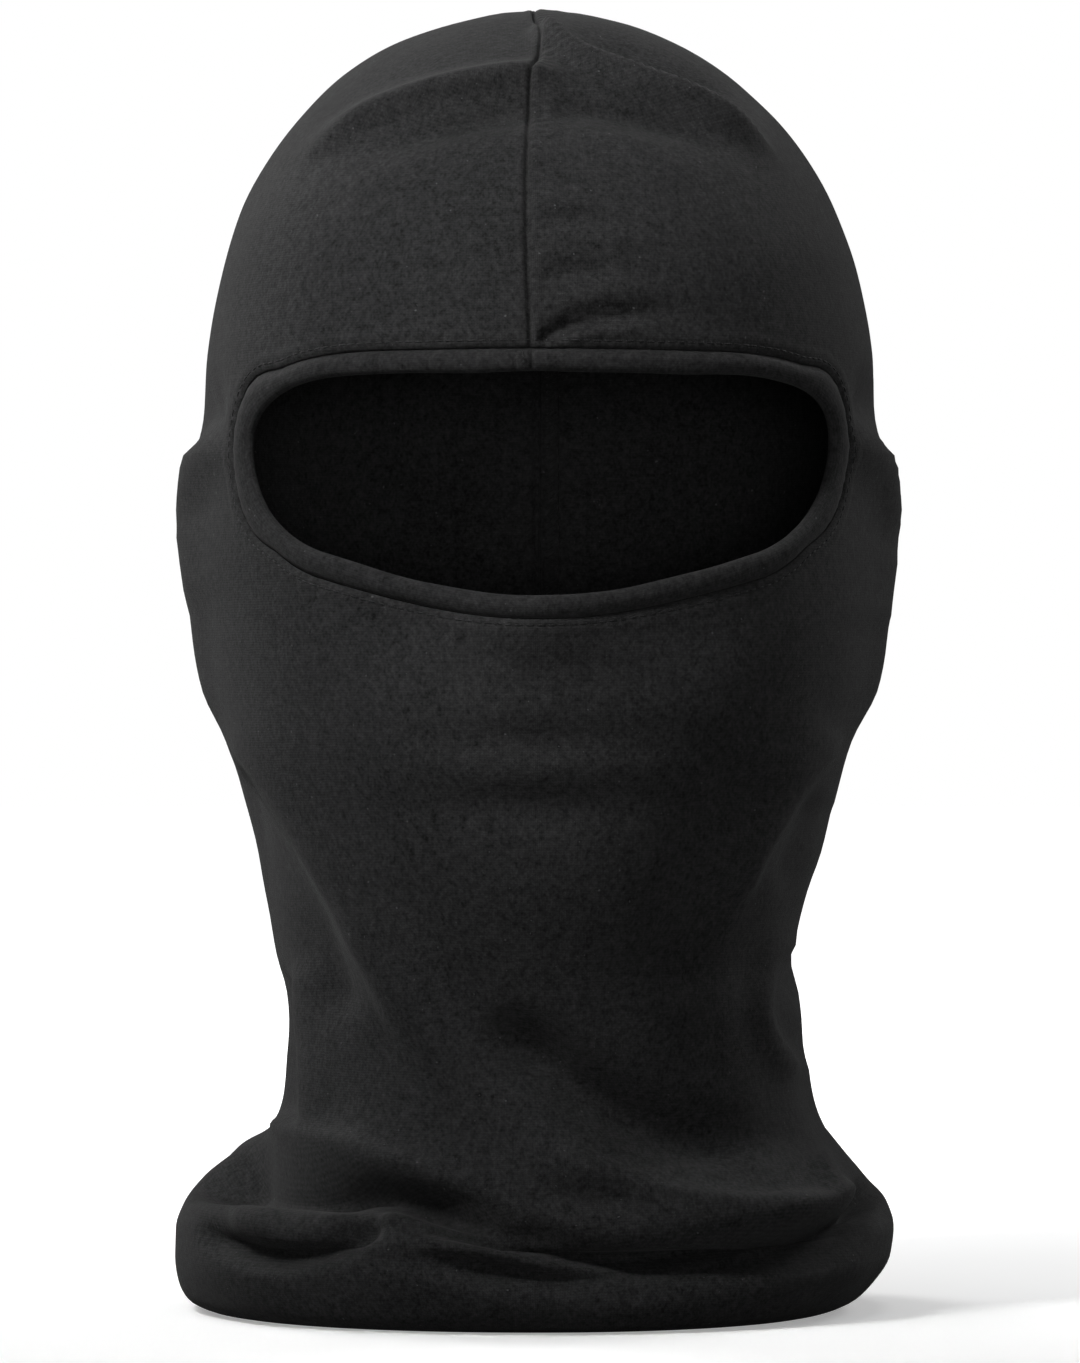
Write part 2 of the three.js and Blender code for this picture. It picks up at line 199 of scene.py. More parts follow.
def ramp(value: Array, start: float, end: float) -> Array:
    """A smooth step from 0 at start to 1 at end.

    Args:
        value: where to read the step.
        start: where it is still 0.
        end: where it has reached 1.
    Returns:
        The step's height at each value.
    """
    t = np.clip((value - start) / (end - start), 0.0, 1.0)
    return t * t * (3 - 2 * t)


def unit(vectors: Array) -> Array:
    """The same directions, each 1 long."""
    return vectors / np.linalg.norm(vectors, axis=-1, keepdims=True)


def run_along(points: Array) -> Array:
    """The distance of each point from the first, along the line through all of them."""
    return np.concatenate([[0], np.cumsum(np.linalg.norm(np.diff(points, axis=0), axis=1))])


def read_at(places: Array, run: Array, rows: Array) -> Array:
    """Reads rows of values between the places where they are known.

    Args:
        places: where to read, as distances along the run.
        run: the distance of each row.
        rows: a row of values for each distance.
    Returns:
        One row for each place.
    """
    return np.stack([np.interp(places, run, column) for column in rows.T], 1)


def curved(a: Array, b: Array, c: Array, d: Array, points: int = 60) -> Array:
    """A curve from a to d that is pulled towards b and c, as a run of points."""
    t = np.linspace(0, 1, points)[:, None]
    return (1 - t) ** 3 * a + 3 * (1 - t) ** 2 * t * b + 3 * (1 - t) * t**2 * c + t**3 * d


class Facing(Enum):
    """The side of the hood that a fold is drawn on."""

    FRONT = "front"
    BACK = "back"
    LEFT = "left"
    RIGHT = "right"


# Where strokes fade out towards the next side of the hood, in metres from its middle.
FRONT_FADE = (-0.012, 0.012)
BACK_FADE = (0.006, 0.034)
SIDE_FADE = (0.012, 0.034)
BEHIND_FADE = (0.010, 0.036)


@dataclass(frozen=True)
class Fold:
    """A ridge or a crease, drawn as a smooth stroke on one side of the hood.

    route holds (across, up) in millimetres, seen square on to that side. lift is how far the
    ridge stands proud, or below 0 how deep the crease is. over and beneath are its widths on
    the stroke's left and right hand, in millimetres. start_fade and end_fade are the shares of
    its length over which it rises and dies away.
    """

    route: tuple[tuple[float, float], ...]
    lift: float
    over: float
    beneath: float
    facing: Facing = Facing.FRONT
    start_fade: float = 0.15
    end_fade: float = 0.15

    def path(self) -> Array:
        """The stroke as a fine run of points, in metres."""
        points = np.asarray(self.route, float) * MM
        if len(points) == 2:
            return np.linspace(points[0], points[1], 12)
        ends = np.vstack([2 * points[0] - points[1], points, 2 * points[-1] - points[-2]])
        t = np.linspace(0, 1, 10, endpoint=False)[:, None]
        out = []
        for a, b, c, d in zip(ends, ends[1:], ends[2:], ends[3:]):
            square, cube = 2 * a - 5 * b + 4 * c - d, 3 * b - a - 3 * c + d
            out.append(0.5 * (2 * b + (c - a) * t + square * t**2 + cube * t**3))
        return np.vstack([*out, points[-1:]])

    def seen_from(self, points: Array) -> tuple[Array, Array]:
        """Where points lie for this fold.

        Args:
            points: points on the cloth.
        Returns:
            Their (across, up) on this fold's side, and how squarely each faces it, 0 to 1.
        """
        x, y, z = points.T
        if self.facing is Facing.FRONT:
            return np.stack([x, z], 1), ramp(-y, *FRONT_FADE)
        if self.facing is Facing.BACK:
            return np.stack([x, z], 1), ramp(y, *BACK_FADE)
        side = -1.0 if self.facing is Facing.LEFT else 1.0
        return np.stack([y, z], 1), ramp(side * x, *SIDE_FADE) * ramp(y, *BEHIND_FADE)

    def height(self, points: Array) -> Array:
        """How far this fold moves each point outwards.

        Args:
            points: points on the cloth.
        Returns:
            The move of each point, in metres.
        """
        flat, facing = self.seen_from(points)
        path = self.path()
        widths_reached = 3.2
        reach = widths_reached * max(self.over, self.beneath) * MM
        low, high = path.min(0) - reach, path.max(0) + reach
        near = np.flatnonzero((facing > 0) & (flat > low).all(1) & (flat < high).all(1))
        out = np.zeros(len(points))
        if not len(near):
            return out
        p, a, d = flat[near][:, None], path[:-1][None], np.diff(path, axis=0)[None]
        long2 = np.maximum((d**2).sum(2), 1e-12)
        t = np.clip(((p - a) * d).sum(2) / long2, 0, 1)
        gap = p - (a + t[..., None] * d)
        far2 = (gap**2).sum(2)
        best = far2.argmin(1)
        rows = np.arange(len(near))
        side = d[0, best, 0] * gap[rows, best, 1] - d[0, best, 1] * gap[rows, best, 0]
        width = np.where(side > 0, self.over, self.beneath) * MM
        run = np.concatenate([[0], np.cumsum(np.sqrt(long2[0]))])
        share = (run[best] + t[rows, best] * np.sqrt(long2[0])[best]) / run[-1]
        fade = ramp(share, -0.001, self.start_fade) * ramp(1 - share, -0.001, self.end_fade)
        out[near] = self.lift * MM * np.exp(-far2[rows, best] / width**2) * fade * facing[near]
        return out


class HoodForm:
    """The outer face of the cloth, found by turn (0 down the front, growing to +X) and level.

    probe is the step over which slopes are measured, and tiny a length that counts as none.
    """

    probe = 2e-3
    tiny = 1e-14

    def __init__(self, low: Vector, high: Vector, folds: Sequence[Fold]) -> None:
        """Fits the rings to the frame's box.

        Args:
            low: lowest corner of the frame's hood panel.
            high: its highest corner.
            folds: ridges and creases, added in order.
        """
        self.scale = (high.z - low.z) / (RINGS[CROWN].z * MM)
        self.tracks = {
            size.name: MonotoneTrack([getattr(ring, size.name) for ring in RINGS]) for size in fields(Ring)
        }
        self.folds = tuple(folds)
        self.fine_levels = np.linspace(TABLE_RING, CROWN, 4000)
        self.fine_heights = self.track("z", self.fine_levels)

    def track(self, name: str, level: Array) -> Array:
        """One of the rings' sizes at some levels, in metres; name is a field of Ring."""
        value = self.tracks[name](level)
        return value if name == "round" else value * MM * self.scale

    def bare(self, turn: Array, level: Array) -> Array:
        """The cloth before its folds.

        Args:
            turn: turns, in radians.
            level: levels.
        Returns:
            One point for each pair.
        """
        s, c = np.sin(turn), np.cos(turn)
        power = 2 / self.track("round", level)
        side = np.where(s < 0, self.track("left", level), self.track("right", level))
        x = side * np.sign(s) * np.abs(s) ** power
        wide = self.track("wide", level)
        end = np.where(c >= 0, self.track("front", level), self.track("back", level))
        y = wide + (end - wide) * np.abs(c) ** power
        z = self.track("z", level)
        y = y - self.face(x / MM, z / MM) * MM * ramp(c, 0.0, 0.35)
        x = x + self.ears((y - wide) / MM, z / MM) * MM * np.sign(s) * np.abs(s)
        return np.stack([x, y, z], -1)

    @staticmethod
    def face(across: Array, high: Array) -> Array:
        """How far the features of a plain display head push the cloth forwards.

        Args:
            across: distance to +X from the middle, in millimetres.
            high: height, in millimetres.
        Returns:
            The push at each place, in millimetres.
        """
        nose = 5.0 * hill(across, 14, 14) * hill(high - 162, 10, 22)
        mouth = hill(high - 141, 5, 6) + hill(high - 128, 4.5, 4) - 0.7 * hill(high - 135, 2.6, 2.6)
        lips = 1.7 * hill(across, 24, 24) * (mouth - hill(high - 120, 4.5, 4.5))
        chin = 1.6 * hill(across, 24, 24) * hill(high - 97, 14, 24)
        sockets = 2.0 * hill(np.abs(across) - 34, 14, 14) * hill(high - 160, 12, 12)
        return nose + lips + chin - sockets

    @staticmethod
    def ears(behind: Array, high: Array) -> Array:
        """How far the ears push the cloth outwards.

        Args:
            behind: distance to +Y from the widest line, in millimetres.
            high: height, in millimetres.
        Returns:
            The push at each place, in millimetres.
        """
        shell = hill(high - 184, 27, 15) + 0.10 * hill(high - 152, 12, 10)
        lobe = 2.0 * hill(behind + 6, 16, 18) * hill(high - 146, 9, 16)
        return 5.6 * hill(behind + 2, 20, 26) * shell + lobe

    def facing(self, turn: Array, level: Array) -> Array:
        """The outward direction of the cloth before its folds.

        Args:
            turn: turns, in radians.
            level: levels.
        Returns:
            One unit vector for each pair.
        """
        across = self.bare(turn + self.probe, level) - self.bare(turn - self.probe, level)
        above, below = np.minimum(level + self.probe, CROWN), np.maximum(level - self.probe, 0)
        out = np.cross(across, self.bare(turn, above) - self.bare(turn, below))
        length = np.linalg.norm(out, axis=-1, keepdims=True)
        up = np.broadcast_to([0.0, 0.0, 1.0], out.shape)
        out = np.where(length > self.tiny, out / np.maximum(length, self.tiny), up)
        return np.where((np.asarray(level) > CROWN - 0.02)[..., None], up, out)

    def drift(self, points: Array, level: Array) -> Array:
        """Slow unevenness of the cloth, which no body or table is quite round enough to take away.

        Args:
            points: points on the cloth.
            level: their levels.
        Returns:
            How far each moves outwards, in metres.
        """
        x, y, z = (points / MM).T
        slow = np.sin(x * 0.071 + z * 0.043 + 1.3) * np.sin(y * 0.057 - z * 0.061 + 0.4)
        fine = np.sin(x * 0.19 - z * 0.11 + y * 0.07) * np.sin(z * 0.17 + y * 0.13 + 2.1)
        loose = 0.25 + 0.75 * ramp(-z, -118, -60)
        return (0.7 * slow + 0.28 * fine) * loose * MM * ramp(level, TABLE_RING - 0.5, TABLE_RING + 3)

    def outer(self, turn: Array, level: Array, depth: Array | float = 0.0) -> Array:
        """The finished outer face, or a face that lies below it.

        Args:
            turn: turns, in radians.
            level: levels.
            depth: distance below the outer face; below 0 it stands proud.
        Returns:
            One point for each pair.
        """
        turn, level = np.broadcast_arrays(np.asarray(turn, float), np.asarray(level, float))
        shape = turn.shape
        turn, level = turn.ravel(), level.ravel()
        depth = np.broadcast_to(np.asarray(depth, float), shape).ravel()
        points, out = self.bare(turn, level), self.facing(turn, level)
        return self.moved(points, out, level, depth).reshape(*shape, 3)

    def moved(self, points: Array, out: Array, level: Array, depth: Array | float) -> Array:
        """Lifts points of the bare cloth onto its folds, or a depth below them.

        Args:
            points: points on the bare cloth.
            out: the outward direction at each.
            level: their levels.
            depth: distance below the outer face.
        Returns:
            The moved points.
        """
        move = self.drift(points, level)
        for fold in self.folds:
            move = move + fold.height(points)
        move = move * ramp(level, TABLE_RING - 0.2, TABLE_RING + 1.2) - depth
        return points + out * move[:, None]

    def level_at(self, height: Array) -> Array:
        """The level, above the gather, whose ring is at a height in metres."""
        return np.interp(height, self.fine_heights, self.fine_levels)

    def behind(self, x: Array, z: Array) -> tuple[Array, Array]:
        """Finds the front of the cloth behind a place seen square on.

        Args:
            x: distance to +X from the middle.
            z: height.
        Returns:
            The turn and the level there.
        """
        level = self.level_at(z)
        side = np.where(x < 0, self.track("left", level), self.track("right", level))
        share = np.clip(np.abs(x) / side, 0, 1)
        return np.sign(x) * np.arcsin(share ** (self.track("round", level) / 2)), level

    def along(self, turn: Array, level: Array, way: Array, distance: Array) -> tuple[Array, Array]:
        """Walks along the cloth.

        Args:
            turn: turns to start at.
            level: levels to start at.
            way: unit directions that touch the cloth.
            distance: how far to walk.
        Returns:
            The turn and the level that are reached.
        """
        probe = self.probe
        across = (self.bare(turn + probe, level) - self.bare(turn - probe, level)) / (2 * probe)
        rise = (self.bare(turn, level + probe) - self.bare(turn, level - probe)) / (2 * probe)
        aa, ar, rr = (across**2).sum(-1), (across * rise).sum(-1), (rise**2).sum(-1)
        da, dr = (across * way).sum(-1), (rise * way).sum(-1)
        whole = aa * rr - ar * ar
        return (
            turn + distance * (da * rr - dr * ar) / whole,
            level + distance * (dr * aa - da * ar) / whole,
        )


# ---------------------------------------------------------------------------- the eye opening


@dataclass(frozen=True)
class EyeOpening:
    """The edge of the eye opening, and places measured from it.

    left, right, height and top give its edge seen square on, and band the width of band that
    shows. widen is the share of more band at its two ends, where the cloth turns away.
    """

    left: float = 0.0663
    right: float = 0.0685
    height: float = 0.0506
    top: float = 0.2179
    band: float = 0.0056
    widen: float = 0.70
    steps: int = 360

    def outline(self) -> Array:
        """The opening's edge seen square on, clockwise from the middle of its top."""
        right, left = self.half(self.right, 0.75), self.half(self.left, 0.4)
        return np.vstack([right, left[-2:0:-1] * [-1, 1]])

    def half(self, reach: float, square: float) -> Array:
        """Half the edge, from the middle of its top to the middle of its foot.

        Args:
            reach: how far it reaches aside.
            square: how square its upper corner is, 0 to 1.
        Returns:
            The points, on the +X side, closest together beside the seam.
        """

        def at(across: float, down: float) -> Array:
            """A place by its shares of the reach and of the height."""
            return np.array([across * reach, self.top - down * self.height])

        brow, corner, cheek, foot = at(0.52, 0.006), at(1, 0.3), at(0.75, 0.8), at(0, 1)
        above = curved(brow, at(0.77 + 0.12 * square, 0.006), at(1, 0.09 - 0.07 * square), corner)
        beside = curved(corner, at(1, 0.56 - 0.11 * square), at(0.96 - 0.05 * square, 0.7), cheek)
        beneath = curved(cheek, at(0.58, 0.877), at(0.28, 1), foot)
        edge = np.vstack([[at(0, 0), brow], above, beside, beneath])
        run = run_along(edge)
        fine = np.linspace(0, run[-1], 4000)
        weight = np.cumsum(1 + 2.2 * np.exp(-((fine / (7 * MM)) ** 2)))
        even = np.interp(np.linspace(weight[0], weight[-1], self.steps // 2 + 1), weight, fine)
        return read_at(even, run, edge)

    def run(self) -> Array:
        """Distance of each step along the edge from the middle of its top, clockwise."""
        return run_along(self.outline())

    def places(self, form: HoodForm) -> tuple[Array, Array, Array]:
        """The edge as places on the cloth.

        Args:
            form: the form of the cloth.
        Returns:
            The turns, the levels, and the directions away from the opening.
        """
        flat = self.outline()
        turn, level = form.behind(flat[:, 0], flat[:, 1])
        points = form.bare(turn, level)
        forward = np.roll(points, -1, 0) - np.roll(points, 1, 0)
        return turn, level, unit(np.cross(form.facing(turn, level), forward))

    def loop(self, form: HoodForm, distance: Array | float) -> tuple[Array, Array]:
        """A loop round the opening.

        Args:
            form: the form of the cloth.
            distance: distance from the opening's edge, one for all or one for each step.
        Returns:
            The turns and the levels of the loop.
        """
        turn, level, away = self.places(form)
        across = self.outline()[:, 0]
        aside = np.maximum(across / self.right, -across / self.left)
        pulled = self.widen * ramp(aside, 0.87, 1.0) * np.minimum(distance, self.band)
        return form.along(turn, level, away, distance + pulled)


# ---------------------------------------------------------------------------- mesh making


def clear_selection() -> None:
    """Deselects every object."""
    bpy.ops.object.select_all(action="DESELECT")


def choose(piece: bpy.types.Object) -> None:
    """Makes one object the only selected one, and the active one.

    Args:
        piece: the object.
    """
    clear_selection()
    piece.select_set(True)
    bpy.context.view_layer.objects.active = piece


def apply_modifiers(piece: bpy.types.Object) -> None:
    """Applies all of an object's modifiers, from the first."""
    choose(piece)
    for modifier in list(piece.modifiers):
        bpy.ops.object.modifier_apply(modifier=modifier.name)


def object_from(name: str, vertices: Array, faces: Sequence[Sequence[int]]) -> bpy.types.Object:
    """A new object at the origin.

    Args:
        name: its name.
        vertices: its corners, in metres.
        faces: corner numbers of each face.
    Returns:
        The object, smooth shaded.
    """
    mesh = bpy.data.meshes.new(name)
    mesh.from_pydata([tuple(v) for v in vertices], [], [tuple(f) for f in faces])
    mesh.validate()
    mesh.shade_smooth()
    piece = bpy.data.objects.new(name, mesh)
    bpy.context.scene.collection.objects.link(piece)
    return piece


def face_outwards(piece: bpy.types.Object) -> None:
    """Recalculates a closed mesh's normals so that they point out.

    Args:
        piece: the object that has the mesh.
    """
    work = bmesh.new()
    work.from_mesh(piece.data)
    bmesh.ops.recalc_face_normals(work, faces=work.faces)
    work.to_mesh(piece.data)
    work.free()


def grid_faces(rows: int, columns: int, wrap_rows: bool, wrap_columns: bool) -> list[tuple[int, ...]]:
    """Quads of a sheet of corners that are numbered row by row.

    Args:
        rows: how many rows.
        columns: how many corners in a row.
        wrap_rows: whether the last row meets the first.
        wrap_columns: whether each row meets itself.
    Returns:
        The quads.
    """
    faces = []
    for r in range(rows if wrap_rows else rows - 1):
        below, above = r * columns, (r + 1) % rows * columns
        for c in range(columns if wrap_columns else columns - 1):
            d = (c + 1) % columns
            faces.append((below + c, below + d, above + d, above + c))
    return faces


def tube_faces(rings: int, sides: int) -> list[tuple[int, ...]]:
    """Faces of a tube with closed ends, whose corners are numbered ring by ring.

    Args:
        rings: how many rings.
        sides: how many corners in a ring.
    Returns:
        The quads, and the two ends.
    """
    last = (rings - 1) * sides
    ends = [tuple(range(sides - 1, -1, -1)), tuple(range(last, last + sides))]
    return grid_faces(rings, sides, False, True) + ends


def corner_numbers(mesh: bpy.types.Mesh) -> Array:
    """Reads which vertex each face corner stands on.

    Args:
        mesh: the mesh.
    Returns:
        The vertex number at each face corner.
    """
    numbers = np.zeros(len(mesh.loops), int)
    mesh.loops.foreach_get("vertex_index", numbers)
    return numbers


def write_map(mesh: bpy.types.Mesh, name: str, places: Array) -> None:
    """Adds a UV map.

    Args:
        mesh: the mesh.
        name: the map's name.
        places: one place for each face corner.
    """
    layer = mesh.uv_layers.new(name=name)
    layer.data.foreach_set("uv", places.astype(np.float32).ravel())


def inside_loop(points: Array, loop: Array) -> Array:
    """Tells which flat points a closed loop goes round.

    Args:
        points: the points.
        loop: the loop's corners, in order.
    Returns:
        Whether each point lies inside.
    """
    x, y = points.T
    inside = np.zeros(len(points), bool)
    for (ax, ay), (bx, by) in zip(loop, np.roll(loop, -1, 0)):
        crosses = (ay > y) != (by > y)
        inside ^= crosses & (x < ax + (y - ay) * (bx - ax) / (by - ay if by != ay else 1e-12))
    return inside


def between_loops(flat: Array, outer: list[int], inner: list[int]) -> list[tuple[int, ...]]:
    """Triangles that fill the gap between two loops of corners.

    Args:
        flat: every corner, laid flat.
        outer: numbers of the outer loop's corners, in order.
        inner: numbers of the inner loop's corners, in order.
    Returns:
        The triangles.
    """
    numbers = [*outer, *inner]
    edges = [(i, (i + 1) % len(outer)) for i in range(len(outer))]
    edges += [(len(outer) + i, len(outer) + (i + 1) % len(inner)) for i in range(len(inner))]
    places = [Vector(flat[i]) for i in numbers]
    made = geometry.delaunay_2d_cdt(places, edges, [], 0, 1e-9)
    back = [numbers[source[0]] for source in made[3]]
    faces = [tuple(back[i] for i in face) for face in made[2]]
    middle = np.array([flat[list(face)].mean(0) for face in faces])
    keep = inside_loop(middle, flat[outer]) & ~inside_loop(middle, flat[inner])
    return [face for face, good in zip(faces, keep) if good]


def swept(name: str, path: Array, lift: Array, section: Array, loop: bool) -> bpy.types.Object:
    """A section carried along a path.

    Args:
        name: the object's name.
        path: points of the path.
        lift: direction that the section's second axis follows, at each point.
        section: closed section, as (sideways, lift) pairs, in metres.
        loop: whether the path meets itself; an open one gets closed ends.
    Returns:
        The object, facing outwards.
    """
    if loop:
        forward = np.roll(path, -1, 0) - np.roll(path, 1, 0)
    else:
        forward = np.gradient(path, axis=0)
    forward = unit(forward)
    side = unit(np.cross(forward, lift))
    up = np.cross(side, forward)
    vertices = path[:, None] + side[:, None] * section[None, :, :1] + up[:, None] * section[None, :, 1:]
    shape = len(path), len(section)
    faces = grid_faces(*shape, True, True) if loop else tube_faces(*shape)
    piece = object_from(name, vertices.reshape(-1, 3), faces)
    face_outwards(piece)
    return piece


def thread_section(diameter: float) -> Array:
    """The round section of a thread."""
    angle = np.linspace(0, 2 * math.pi, THREAD_SIDES, endpoint=False)
    return np.stack([np.cos(angle), np.sin(angle)], 1) * diameter / 2


# ---------------------------------------------------------------------------- the hood


@dataclass
class ClosingSeam:
    """The one seam of the hood: up the forehead, over the crown and down the back.

    wander holds (height, distance to +X) in millimetres, down the forehead. bend is the radius
    over which its allowance lies.
    """

    form: HoodForm
    opening: EyeOpening
    crown_depth: float = 0.85 * MM
    wander: tuple[tuple[float, float], ...] = (
        (222, -1.0), (240, -1.5), (262, -2.0), (278, -1.9), (284, -1.5), (288, -0.7), (292, 0.3),
        (296, 0.8), (300, 0.3), (303, -0.8), (306, -1.2),
    )
    allowance: float = 5.0 * MM
    bend: float = 55.0 * MM

    def start(self) -> float:
        """The level where the seam meets the eye band."""
        return float(self.form.level_at(self.opening.top + self.opening.band))

    def lean(self, level: Array) -> Array:
        """How far the seam wanders from the middle of the forehead.

        Args:
            level: levels.
        Returns:
            The turn of the seam at each level.
        """
        high = self.form.track("z", level) / MM
        drift = np.interp(high, *np.array(self.wander).T)
        side = np.maximum(self.form.track("right", level), 6 * MM)
        return drift * MM / side * ramp(level, self.start() - 3.0, self.start())

    def dip(self, level: Array, own: Array) -> Array:
        """How deep the seam draws the cloth in, beside it.

        Args:
            level: levels.
            own: turns, before the seam's lean.
        Returns:
            Depths, in metres.
        """
        side = np.maximum(self.form.track("right", level), 1e-5)
        across = np.sin(own) * side / MM
        on = np.where(np.cos(own) > 0, ramp(level, self.start() - 0.15, self.start() + 0.1), 1.0)
        on = on * ramp(level, TABLE_RING - 4.0, TABLE_RING - 3.4)
        groove = 1.0 * np.exp(-((across / 0.42) ** 2))
        bead = -0.26 * np.exp(-((np.abs(across) - 1.4) ** 2) / 0.8)
        ridge = -0.3 * ramp(across, 0.9, 1.8) * ramp(-across, -6.0, -4.6)
        off_table = ramp(level, TABLE_RING + 0.5, TABLE_RING + 2.0)
        return (groove + (bead + ridge) * off_table) * on * MM

    def path(self, across: float, depth: float, step: float = SEAM_SPACING) -> tuple[Array, Array]:
        """A line beside the seam, from the eye band over the crown to the hem.

        Args:
            across: distance from the seam to +X.
            depth: depth below the cloth's outer face.
            step: spacing of its points.
        Returns:
            The points, and the outward direction at each.
        """
        front = np.linspace(self.start() + 0.95, CROWN, 300)
        back = np.linspace(CROWN, HEM_FOLD + 0.1, 700)[1:]
        level = np.concatenate([front, back])
        turn = np.concatenate([self.lean(front), np.full(len(back), math.pi)])
        out = self.form.facing(turn, level)
        sag = across**2 / (2 * self.bend)
        aside = self.form.bare(turn, level) + [across, 0, 0]
        points = self.form.moved(aside, out, level, depth + sag)
        run = run_along(points)
        even = np.arange(0, run[-1], step)
        return read_at(even, run, points), unit(read_at(even, run, out))


@dataclass
class HoodPanel:
    """The one panel of jersey, with its hem turned up and its edge turned in at the eye band.

    edge holds (distance beyond the band's seam, depth) in millimetres for each loop of the fine
    strip beside the band. hem holds (level, depth, lift) for each row before the cloth's own
    face, from the raw edge round the fold. clearing is the gap between the strip and the grid.
    """

    form: HoodForm
    opening: EyeOpening
    seam: ClosingSeam
    cloth: float = 0.6 * MM
    columns: int = 220
    rows: int = 194
    edge: tuple[tuple[float, float], ...] = (
        (4.8, 1.35), (2.4, 1.35), (0.9, 1.32), (0.3, 1.15), (0.02, 0.95), (-0.05, 0.78),
        (0.05, 0.62), (0.35, 0.38), (0.75, 0.16), (1.1, 0.04), (1.5, 0.14), (2.0, -0.03),
        (2.7, -0.08), (3.6, -0.12), (4.3, 0.04), (5.2, 0.0), (6.2, 0.0),
    )
    hem: tuple[tuple[float, float, float], ...] = (
        (1.9, 1.5, 0), (1.4, 1.55, 0), (0.9, 1.55, 0), (0.4, 1.55, 0), (0.05, 1.5, 0),
        (0.0, 1.25, 0.45), (0.0, 0.75, 0.7), (0.0, 0.25, 0.45),
    )
    clearing: float = 1.2 * MM

    def turns(self) -> Array:
        """The grid's turns, closest together beside the seam."""
        fine = np.linspace(-math.pi, math.pi, 20001)
        near = np.exp(-((fine / 0.04) ** 2)) + np.exp(-(((np.abs(fine) - math.pi) / 0.04) ** 2))
        run = np.concatenate([[0], np.cumsum((1 + 8.0 * near)[1:])])
        even = np.linspace(0, run[-1], self.columns, endpoint=False)
        return np.interp(even, run, fine)

    def path_rows(self) -> tuple[Array, Array, Array]:
        """The grid's rows, from the hem's raw edge round its fold and up to the crown.

        Returns:
            The level of each row, its depth, and how far it is lifted.
        """
        fine = np.linspace(0.05, CROWN - 0.12, 6000)
        length = np.zeros(len(fine))
        for turn in (0.0, 1.1, -1.1, math.pi):
            points = self.form.bare(np.full(len(fine), turn), fine)
            length[1:] += np.linalg.norm(np.diff(points, axis=0), axis=1) / 4
        high = self.form.track("z", fine) / MM
        gather = 1.6 * ramp(-high, -62, -42) * ramp(fine, 3.5, 5)
        inside = 0.45 * ramp(-fine, -4, -3)
        crown = 1.3 * ramp(high, 266, 274) * ramp(-high, -304, -297)
        forehead = 0.9 * ramp(high, 218, 224) * ramp(-high, -266, -258)
        run = np.cumsum(length * (1 + gather - inside + crown + forehead))
        level = np.interp(np.linspace(run[0], run[-1], self.rows), run, fine)
        levels, depths, lifts = np.array([*self.hem, *((at, 0.0, 0.0) for at in level)]).T
        return levels, depths * MM, lifts * MM

    def build(self) -> bpy.types.Object:
        """Makes the panel: a grid over the form, an edge strip at the eye band, and a thickness."""
        turns = self.turns()
        levels, depths, lifts = self.path_rows()
        own, level = np.meshgrid(turns, levels)
        turn = own + self.seam.lean(level) * np.exp(-((own / 0.45) ** 2))
        depth = depths[:, None] + self.seam.dip(level, own)
        points = self.form.outer(turn, level, depth)
        points[..., 2] += lifts[:, None]
        rows, columns = own.shape
        vertices = points.reshape(-1, 3)
        faces = np.array(grid_faces(rows, columns, False, True))
        beyond = self.beyond_band(self.form.bare(turn.ravel(), level.ravel()))
        faces = faces[(beyond[faces] > self.clearing).all(1)]
        crown = len(vertices)
        top = self.form.outer(np.array([0.0]), np.array([float(CROWN)]), self.seam.crown_depth)
        last = crown - columns
        fan = [(last + c, last + (c + 1) % columns, crown) for c in range(columns)]
        strip_points, strip_places, strip_faces = self.edge_strip(crown + 1)
        vertices = np.vstack([vertices, top, strip_points])
        grid_places = np.stack([turn.ravel(), level.ravel()], 1)
        places = np.vstack([grid_places, [[0.0, CROWN]], strip_places])
        every = [tuple(f) for f in faces] + fan + strip_faces
        flat = np.stack([places[:, 0] * 0.08, self.form.track("z", places[:, 1])], 1)
        piece = self.stitched("hood_cloth", vertices, flat, every, crown + 1)
        self.write_pattern(piece, places)
        self.trim_loose(piece)
        solid = piece.modifiers.new("cloth", "SOLIDIFY")
        solid.thickness = self.cloth
        solid.offset = -1.0
        solid.use_rim = True
        apply_modifiers(piece)
        piece.data.shade_smooth()
        return piece

    def beyond_band(self, points: Array) -> Array:
        """How far points lie outside the fine strip beside the eye band; below 0 they lie inside it.

        Args:
            points: points on the bare cloth.
        Returns:
            The distances, in metres.
        """
        turn, level = self.opening.loop(self.form, self.opening.band + self.edge[-1][0] * MM)
        loop = self.form.bare(turn, level)
        margin, far, at_once = 0.03, 1.0, 4000
        low, high = loop.min(0) - margin, loop.max(0) + margin
        near = np.flatnonzero(((points > low) & (points < high)).all(1))
        out = np.full(len(points), far)
        for part in np.array_split(near, max(1, len(near) // at_once)):
            gap = np.linalg.norm(points[part][:, None] - loop[None], axis=2).min(1)
            out[part] = np.where(inside_loop(points[part][:, ::2], loop[:, ::2]), -gap, gap)
        return out

